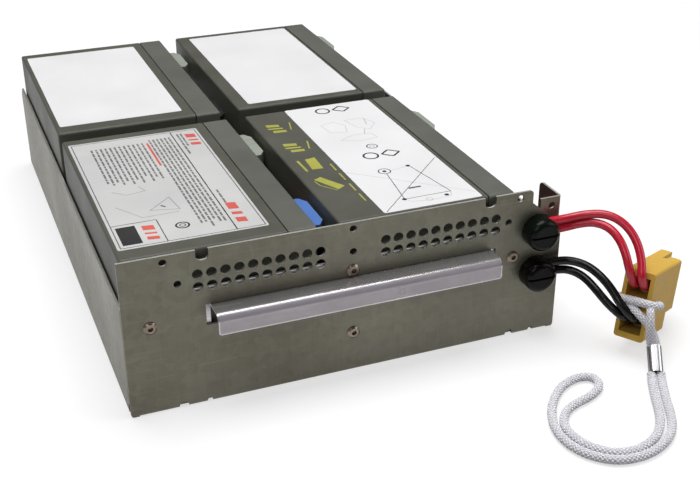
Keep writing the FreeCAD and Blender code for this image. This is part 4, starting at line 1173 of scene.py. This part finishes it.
        # the faint drawing, the ring and the boxed mark near the front
        label.path(
            ((23.0, 36.5), (35.0, 48.0), (37.0, 33.0), (23.0, 36.5)), 0.3, Print.GREY
        )
        label.path(((8.0, 46.0), (18.0, 30.0), (36.0, 30.5)), 0.25, Print.GREY)
        label.line((29.0, 40.0), (31.0, 38.0), 1.0, Print.BLACK)
        label.path(
            ((10.0, 64.0), (16.0, 58.0), (26.0, 60.0), (24.0, 66.0)), 0.25, Print.GREY
        )
        label.ring(33.6, 15.2, 3.1, 0.9, Print.BLACK)
        label.ring(33.6, 15.2, 1.4, 0.5, Print.BLACK)
        label.path(((1.6, 25.6), (23.4, 25.6), (23.4, 1.6)), 0.45, Print.BLACK)
        self.red_blocks(label, 15.2, 5.4, 5.6, 17.0)
        label.bar(3.2, 4.0, 12.4, 23.0, Print.BLACK)
        return label

    def small_print(
        self, label: LabelSheet, x: float, start: float, end: float, seed: int
    ) -> None:
        """Print a row of short grey bars, as small print looks from a step away.

        Args:
            label: The label to print on.
            x: The row's left side.
            start: Where the row starts.
            end: Where it ends.
            seed: A number that changes the bars' lengths.
        """
        y = end
        step = seed
        while y - start > self.word_room:
            length = self.word_shortest + (step * 7 % 5) * self.word_growth
            label.bar(x, max(start, y - length), x + self.word_height, y, Print.GREY)
            y -= length + self.word_gap
            step += 3

    @staticmethod
    def red_blocks(
        label: LabelSheet, x: float, y: float, width: float, length: float
    ) -> None:
        """Print three slanted red blocks of uneven length in a row along the battery.

        Args:
            label: The label to print on.
            x: The row's left side.
            y: The row's front end.
            width: The blocks' width.
            length: The row's length.
        """
        for start, end in ((0.0, 0.24), (0.34, 0.50), (0.60, 0.94)):
            front, back = y + start * length, y + end * length
            label.patch(
                ((x, front + 0.9), (x + width, front), (x + width, back - 0.9), (x, back)),
                Print.RED,
            )

    def case_print(self) -> None:
        """Print the lime marks straight onto the front right case."""
        label = LabelSheet(
            "print_front_right",
            self.corner("front_right", 0.0, 0.0),
            24.0,
            140.0,
            thickness=0.0,
            print_height=0.03,
        )
        # this print has one ink, lime, in the second material slot
        lime = Print.BLACK
        # groups of solid slanted blocks, a solid block and a long slanted bar
        for y in (128.0, 98.0):
            for block in (
                ((6.2, 0.4), (13.4, -0.8), (13.8, 2.6), (6.6, 4.2)),
                ((6.0, -3.2), (14.4, -4.4), (14.6, -2.6), (6.2, -1.4)),
                ((7.4, -8.8), (15.0, -9.4), (15.2, -6.4), (7.8, -5.6)),
            ):
                label.patch([(x, y + along) for x, along in block], lime)
            label.line((18.2, y - 7.0), (20.6, y + 3.6), 0.8, lime)
        label.patch(((9.8, 63.6), (15.8, 63.0), (16.4, 78.4), (10.6, 77.4)), lime)
        label.patch(((6.0, 62.2), (7.3, 62.0), (6.9, 77.0), (5.6, 77.0)), lime)
        label.patch(((13.6, 35.6), (18.0, 38.4), (10.2, 53.0), (6.0, 50.8)), lime)
        label.path(((5.6, 49.0), (6.6, 43.0), (12.8, 34.8)), 0.5, lime)
        for y in (18.0, 31.0, 45.0, 58.0):
            label.bar(20.6, y, 21.4, y + 9.0, lime)
        inks = [self.finishes.case, self.finishes.lime_print]
        label.finish(inks, "case_plastic")


class Route:
    """A cord's smooth line through its control points."""

    LINE_STEPS = 12
    ROUND_STEPS = 6

    def __init__(self, name: str, points: Sequence[Point], diameter: float) -> None:
        """Build the curve.

        Args:
            name: The curve's name.
            points: Control points, in millimetres.
            diameter: The cord's diameter, in millimetres.
        """
        self.name = name
        self.diameter = diameter * MM
        self.curve = bpy.data.curves.new(name, "CURVE")
        self.curve.dimensions = "3D"
        self.curve.resolution_u = self.LINE_STEPS
        spline = self.curve.splines.new("NURBS")
        spline.points.add(len(points) - 1)
        for knot, point in zip(spline.points, points):
            knot.co = (*(Vector(point) * MM), 1.0)
        spline.order_u = 3
        spline.use_endpoint_u = True
        self.start = Vector(points[0]) * MM

    def centreline(self) -> list[Vector]:
        """Read the points that the smooth line passes through.

        Returns:
            Points in metres, in order.
        """
        holder = bpy.data.objects.new(f"{self.name}_line", self.curve)
        bpy.context.scene.collection.objects.link(holder)
        self.curve.bevel_depth = 0.0
        bpy.context.view_layer.update()
        mesh = bpy.data.meshes.new_from_object(holder)
        points = [vertex.co.copy() for vertex in mesh.vertices]
        bpy.data.meshes.remove(mesh)
        bpy.data.objects.remove(holder)
        return points

    def length(self) -> float:
        """Return the smooth line's length in metres."""
        points = self.centreline()
        return sum((b - a).length for a, b in zip(points, points[1:]))

    def tube(self, material: bpy.types.Material) -> bpy.types.Object:
        """Turn the curve into a round cord.

        Args:
            material: The cord's finish.

        Returns:
            The cord.
        """
        self.curve.bevel_depth = self.diameter / 2
        self.curve.bevel_resolution = self.ROUND_STEPS
        self.curve.use_fill_caps = True
        self.curve.materials.append(material)
        cord = bpy.data.objects.new(self.name, self.curve)
        bpy.context.scene.collection.objects.link(cord)
        return cord


class BraidedTube:
    """A mesh tube whose surface is a diamond braid of yarns."""

    ATTRIBUTE = "braid_height"
    # a crest's height between two crossings, where it dives under the next yarn
    DIVE = 0.45

    def __init__(
        self,
        line: Sequence[Vector],
        diameter: float,
        yarns: int = 7,
        samples: int = 6,
        step: float = 0.00032,
        depth: float = 0.00045,
    ) -> None:
        """Keep the braid's measures, in metres.

        Args:
            line: The points that the cord follows.
            diameter: The cord's diameter over the yarns' crests.
            yarns: How many yarns run each way round.
            samples: Mesh columns across one yarn.
            step: The spacing of the mesh rings.
            depth: How far the gaps lie under the crests.
        """
        self.line = self._even(line, step)
        self.radius = diameter / 2
        self.yarns = yarns
        self.sides = yarns * samples
        self.pitch = math.pi * diameter / yarns
        self.step = step
        self.depth = depth

    @staticmethod
    def _even(line: Sequence[Vector], step: float) -> list[Vector]:
        """Space points evenly along a line.

        Args:
            line: The line's points.
            step: The spacing.

        Returns:
            The new points.
        """
        points = [line[0].copy()]
        left = step
        for start, end in zip(line, line[1:]):
            run = (end - start).length
            place = left
            while place <= run:
                points.append(start.lerp(end, place / run))
                place += step
            left = place - run
        return points

    def _crest(self, around: float, along: float) -> float:
        """Work out how high the braid is.

        Args:
            around: The place round the cord, in yarns.
            along: The place along the cord, in yarns.

        Returns:
            The height, from 0 in a gap to 1 on a yarn's crest.
        """
        first, second = around - along, around + along
        over, under = first % 1.0, second % 1.0
        if (math.floor(first) + math.floor(second)) % 2:
            over, under = under, over
        rise = self.DIVE + (1.0 - self.DIVE) * math.sin(math.pi * under)
        return math.sin(math.pi * over) * rise

    def add_to(self, shape: bmesh.types.BMesh) -> None:
        """Add the tube to a mesh that is being built.

        Args:
            shape: The mesh, which gets the braid's height as a layer.
        """
        layer = shape.verts.layers.float.get(self.ATTRIBUTE)
        if layer is None:
            layer = shape.verts.layers.float.new(self.ATTRIBUTE)
        tangent = (self.line[1] - self.line[0]).normalized()
        across = tangent.orthogonal().normalized()
        rings = []
        for number, point in enumerate(self.line):
            after = self.line[min(number + 1, len(self.line) - 1)]
            before = self.line[max(number - 1, 0)]
            tangent = (after - before).normalized()
            across = (across - tangent * across.dot(tangent)).normalized()
            upright = tangent.cross(across)
            ring = []
            for side in range(self.sides):
                angle = 2 * math.pi * side / self.sides
                crest = self._crest(
                    side * self.yarns / self.sides, number * self.step / self.pitch
                )
                reach = self.radius - self.depth * (1.0 - crest)
                vert = shape.verts.new(
                    point + (across * math.cos(angle) + upright * math.sin(angle)) * reach
                )
                vert[layer] = crest
                ring.append(vert)
            rings.append(ring)
        for first, second in zip(rings, rings[1:]):
            for side in range(self.sides):
                after = (side + 1) % self.sides
                corners = (first[side], first[after], second[after], second[side])
                shape.faces.new(corners).smooth = True
        shape.faces.new(list(reversed(rings[0])))
        shape.faces.new(rings[-1])


def braided_piece(
    name: str, tubes: Sequence[BraidedTube], material: bpy.types.Material
) -> bpy.types.Object:
    """Make one piece from braided tubes.

    Args:
        name: The piece's name.
        tubes: The tubes.
        material: The cord's finish.

    Returns:
        The piece.
    """
    shape = bmesh.new()
    for tube in tubes:
        tube.add_to(shape)
    mesh = bpy.data.meshes.new(name)
    shape.to_mesh(mesh)
    shape.free()
    mesh.materials.append(material)
    return put(name, mesh)


class PowerLead(Enum):
    """The four leads outside the tray."""

    RED_1 = "lead_red_1"
    RED_2 = "lead_red_2"
    BLACK_1 = "lead_black_1"
    BLACK_2 = "lead_black_2"


@dataclass
class PlugAndLeads:
    """The strain reliefs, the leads outside the tray and the two-pole plug."""

    nodes: dict[str, bpy.types.Object]
    finishes: Finishes
    lead_diameter: float = 4.4

    def build(self) -> None:
        """Dress the plug and lay the leads."""
        dress(self.nodes["strain_relief_upper"], self.finishes.relief_green)
        dress(self.nodes["strain_relief_lower"], self.finishes.relief_brown)
        dress(self.nodes["plug_housing"], self.finishes.plug)
        for pole in ("upper", "lower"):
            dress(self.nodes[f"plug_contact_{pole}"], self.finishes.contact)
        for lead in PowerLead:
            self.lay(lead)

    def lay(self, lead: PowerLead) -> None:
        """Lay one lead.

        Args:
            lead: Which lead.
        """
        red = lead in (PowerLead.RED_1, PowerLead.RED_2)
        material = self.finishes.lead_red if red else self.finishes.lead_black
        route = Route(f"{lead.value}_cover", LEAD_POINTS[lead], self.lead_diameter)
        length = route.length()
        cord = route.tube(material)
        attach(cord, "root")
        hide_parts(lead.value)
        LOG.info("%s: %.1f mm", cord.name, length / MM)


@dataclass
class PullCord:
    """The plug's braided pull cord with its hitch and its metal ferrule."""

    nodes: dict[str, bpy.types.Object]
    finishes: Finishes
    diameter: float = 4.5
    hitch_diameter: float = 4.3

    def build(self) -> None:
        """Tie the hitch, dress the ferrule and lay the loop."""
        dress(self.nodes["cord_ferrule"], self.finishes.ferrule)
        hitch = self.hitch()
        route = Route("cord_loop_line", LOOP_POINTS, self.diameter)
        line = route.centreline()
        tube = BraidedTube(line, self.diameter * MM)
        cord = braided_piece("cord_loop_braid", [tube], self.finishes.cord)
        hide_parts("cord_loop")
        length = route.length()
        LOG.info("%s: %.1f mm", cord.name, length / MM)

    def hitch(self) -> bpy.types.Object:
        """Tie the cord round the bar between the plug's two poles.

        Returns:
            The hitch, with the two strands that go down to the ferrule.
        """
        frame = (
            Matrix.Translation(PLUG_PLACE)
            @ Matrix.Rotation(math.radians(PLUG_HEADING), 4, "Z")
            @ Matrix.Rotation(math.radians(PLUG_DROOP), 4, "Y")
        )
        tubes = []
        for name, points in HITCH_POINTS.items():
            placed = [tuple(frame @ Vector(point)) for point in points]
            route = Route(name, placed, self.hitch_diameter)
            tubes.append(BraidedTube(route.centreline(), route.diameter))
        hitch = braided_piece("cord_hitch_braid", tubes, self.finishes.cord)
        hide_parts("cord_hitch")
        return hitch


@dataclass(frozen=True)
class Lamp:
    """A square area lamp: its place and side in metres and its power in watts."""

    name: str
    place: Point
    size: float
    power: float


@dataclass
class Studio:
    """Floor, lights and camera."""

    lamps: tuple[Lamp, ...] = (
        Lamp("top", (0.0, 0.15, 1.7), 1.2, 30.0),
        Lamp("key", (-1.0, -1.2, 1.3), 0.7, 6.0),
        Lamp("fill", (1.4, -0.8, 0.8), 0.9, 6.0),
    )
    world_light: float = 0.42
    world_seen: float = 1.0
    floor_colour: Colour = (0.42, 0.42, 0.43)
    floor_glow: float = 0.62
    floor_roughness: float = 0.9
    floor_half: float = 6.0
    camera_place: Point = (-0.18224, -0.61668, 0.32028)
    camera_aim: Point = (0.3285, 0.8263, -0.4576)
    camera_roll: float = -0.15
    lens: float = 59.52
    sensor_width: float = 36.0
    clip_start: float = 0.01
    floor_level: float = 0.0

    def build(self) -> None:
        """Set the stage."""
        self.floor()
        self.world()
        for lamp in self.lamps:
            self.hang(lamp)
        self.camera()
        bpy.context.scene.view_settings.view_transform = "Standard"

    def camera(self) -> None:
        """Place the camera."""
        data = bpy.data.cameras.new("camera")
        data.lens = self.lens
        data.sensor_width = self.sensor_width
        data.clip_start = self.clip_start
        eye = bpy.data.objects.new("camera", data)
        turn = Vector(self.camera_aim).to_track_quat("-Z", "Y").to_matrix().to_4x4()
        roll = Matrix.Rotation(math.radians(self.camera_roll), 4, "Z")
        eye.matrix_world = Matrix.Translation(self.camera_place) @ turn @ roll
        bpy.context.scene.collection.objects.link(eye)
        bpy.context.scene.camera = eye

    def floor(self) -> None:
        """Lay a pale floor that keeps the shadow and looks white elsewhere."""
        mesh = bpy.data.meshes.new("floor")
        shape = bmesh.new()
        bmesh.ops.create_grid(shape, x_segments=1, y_segments=1, size=self.floor_half)
        shape.to_mesh(mesh)
        shape.free()
        floor = bpy.data.objects.new("floor", mesh)
        floor.location.z = self.floor_level
        bpy.context.scene.collection.objects.link(floor)
        made, sketch, shader = start_material("floor_paper")
        shader.inputs["Roughness"].default_value = self.floor_roughness
        shader.inputs["Specular IOR Level"].default_value = 0.0
        shader.inputs["Base Color"].default_value = (*self.floor_colour, 1.0)
        glow = sketch.add("ShaderNodeEmission")
        strength = sketch.math("MULTIPLY", self.seen(sketch), self.floor_glow)
        sketch.join(strength, glow.inputs["Strength"])
        total = sketch.add("ShaderNodeAddShader")
        sketch.join(shader.outputs[0], total.inputs[0])
        sketch.join(glow.outputs[0], total.inputs[1])
        output = made.node_tree.nodes["Material Output"]
        sketch.join(total.outputs[0], output.inputs["Surface"])
        mesh.materials.append(made)

    def world(self) -> None:
        """Light the scene from all round, white where it is seen."""
        world = bpy.data.worlds.new("studio")
        world.use_nodes = True
        bpy.context.scene.world = world
        sketch = NodeSketch(world.node_tree)
        sheet = world.node_tree.nodes["Background"]
        strength = sketch.spread(
            self.seen(sketch), 0.0, 1.0, self.world_light, self.world_seen
        )
        sketch.join(strength, sheet.inputs["Strength"])

    @staticmethod
    def seen(sketch: NodeSketch) -> bpy.types.NodeSocket:
        """Mark what is looked at, straight or in a reflection.

        Args:
            sketch: The nodes of the material or of the world.

        Returns:
            The socket of the mark, 1 where it is seen.
        """
        path = sketch.add("ShaderNodeLightPath")
        return sketch.math(
            "MAXIMUM", path.outputs["Is Camera Ray"], path.outputs["Is Glossy Ray"]
        )

    @staticmethod
    def hang(lamp: Lamp) -> None:
        """Add a lamp, aimed at the cartridge.

        Args:
            lamp: The lamp to add.
        """
        data = bpy.data.lights.new(lamp.name, "AREA")
        data.size = lamp.size
        data.energy = lamp.power
        hung = bpy.data.objects.new(lamp.name, data)
        hung.location = lamp.place
        hung.rotation_euler = (-Vector(lamp.place)).to_track_quat("-Z", "Y").to_euler()
        bpy.context.scene.collection.objects.link(hung)


# Control points of the leads outside the tray, from the strain reliefs to the plug.
LEAD_POINTS: dict[PowerLead, list[Point]] = {
    PowerLead.RED_1: [
        (102.2, -169.0, 65.1),
        (112.1, -169.0, 65.1),
        (122.0, -172.5, 67.4),
        (129.5, -177.5, 68.6),
        (135.0, -183.0, 66.8),
        (138.4, -189.0, 62.7),
        (139.6, -195.0, 57.0),
        (138.4, -201.0, 50.3),
        (136.1, -204.8, 44.9),
        (137.9, -205.0, 40.0),
        (141.5, -202.1, 36.4),
        (148.1, -197.9, 34.8),
    ],
    PowerLead.RED_2: [
        (102.2, -169.0, 60.1),
        (112.1, -169.0, 60.1),
        (119.5, -171.5, 62.2),
        (125.5, -176.0, 63.9),
        (129.8, -182.5, 63.3),
        (131.8, -189.5, 59.7),
        (132.0, -196.0, 54.0),
        (132.0, -200.3, 47.0),
        (134.3, -201.4, 40.6),
        (138.8, -197.9, 36.4),
        (145.4, -193.7, 34.8),
    ],
    PowerLead.BLACK_1: [
        (102.2, -169.0, 41.6),
        (112.1, -169.0, 41.6),
        (118.5, -173.0, 41.5),
        (122.6, -179.5, 40.8),
        (125.2, -187.0, 38.4),
        (127.3, -194.5, 34.2),
        (128.5, -201.6, 28.7),
        (132.4, -206.0, 23.6),
        (138.4, -204.2, 18.2),
        (144.9, -199.9, 16.6),
    ],
    PowerLead.BLACK_2: [
        (102.2, -169.0, 36.6),
        (112.1, -169.0, 36.6),
        (117.5, -172.8, 36.2),
        (120.8, -179.0, 34.8),
        (122.6, -186.5, 31.8),
        (124.5, -193.6, 27.8),
        (127.0, -199.4, 24.6),
        (130.6, -202.3, 21.6),
        (135.6, -200.0, 18.2),
        (142.2, -195.7, 16.6),
    ],
}

# Control points of the pull cord's loop, from one strand at the ferrule to the other.
LOOP_POINTS: list[Point] = [
    (135.5, -230.2, 4.2),
    (134.3, -232.8, 2.3),
    (131.6, -238.0, 2.3),
    (127.0, -246.5, 2.3),
    (121.6, -258.0, 2.3),
    (115.8, -267.8, 2.3),
    (107.0, -275.8, 2.3),
    (94.0, -280.8, 2.3),
    (80.0, -280.0, 2.3),
    (70.4, -273.0, 2.3),
    (64.6, -262.0, 2.3),
    (64.8, -248.4, 2.3),
    (70.6, -235.4, 2.3),
    (78.8, -225.3, 2.3),
    (87.8, -218.4, 2.3),
    (98.0, -215.4, 2.3),
    (105.2, -218.6, 2.3),
    (103.6, -226.8, 2.3),
    (94.2, -232.4, 2.3),
    (84.0, -234.6, 2.3),
    (75.4, -239.4, 2.3),
    (70.2, -247.6, 2.3),
    (69.6, -258.0, 2.3),
    (73.7, -268.2, 2.3),
    (81.8, -275.0, 2.3),
    (93.0, -275.9, 2.3),
    (103.8, -271.6, 2.3),
    (111.3, -264.7, 2.3),
    (117.0, -255.8, 2.3),
    (122.4, -244.5, 2.3),
    (127.0, -236.0, 2.3),
    (130.1, -230.8, 2.3),
    (131.3, -228.2, 4.2),
]

# The plug's place, and how it is turned and droops, as in the CAD model.
PLUG_PLACE: Point = (135.3, -203.2, 28.1)
PLUG_HEADING = 33.0
PLUG_DROOP = 11.7

# Control points of the hitch in the plug's own frame: x along the plug from its rear face,
# y across it and z up from the bar's middle.
HITCH_POINTS: dict[str, list[Point]] = {
    "hitch_band": [
        (9.1, 0.5, 0.0),
        (9.2, 5.0, 0.0),
        (8.6, 10.2, 0.2),
        (4.2, 11.4, 0.6),
        (-0.4, 9.6, 1.6),
        (-1.8, 4.8, 2.6),
        (-2.8, -0.5, 3.4),
        (-3.8, -5.6, 3.7),
        (-2.4, -10.2, 3.4),
        (1.6, -12.2, 2.6),
        (5.6, -11.2, 1.8),
        (8.8, -8.8, 0.9),
        (9.2, -3.0, 0.1),
    ],
    "hitch_back_strand": [
        (-0.4, 3.8, 0.2),
        (-1.6, 1.8, 0.2),
        (-3.4, -1.6, -0.8),
        (-4.4, -5.2, -2.6),
        (-3.8, -8.2, -5.0),
        (-2.4, -10.8, -8.0),
        (-1.4, -13.6, -12.0),
        (-1.5, -15.2, -15.4),
        (-3.0, -16.2, -18.0),
        (-4.7, -17.4, -20.1),
    ],
    "hitch_front_strand": [
        (-0.8, -8.4, 2.0),
        (-3.0, -9.2, 2.0),
        (-5.0, -10.6, -0.6),
        (-5.8, -11.9, -5.6),
        (-5.0, -12.2, -11.0),
        (-3.4, -13.0, -15.6),
        (-4.2, -14.6, -18.4),
        (-5.7, -16.2, -20.6),
    ],
}


def main() -> None:
    """Load the frame and build the sub-assemblies in order."""
    logging.basicConfig(level=logging.INFO, format="%(message)s")
    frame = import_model()
    nodes = frame["nodes"]
    finishes = Finishes()
    for part in (
        Tray(nodes, finishes),
        BatterySet(nodes, finishes),
        PlugAndLeads(nodes, finishes),
        PullCord(nodes, finishes),
    ):
        part.build()
        LOG.info("built %s", type(part).__name__)
    Studio().build()


if __name__ == "__main__":
    main()
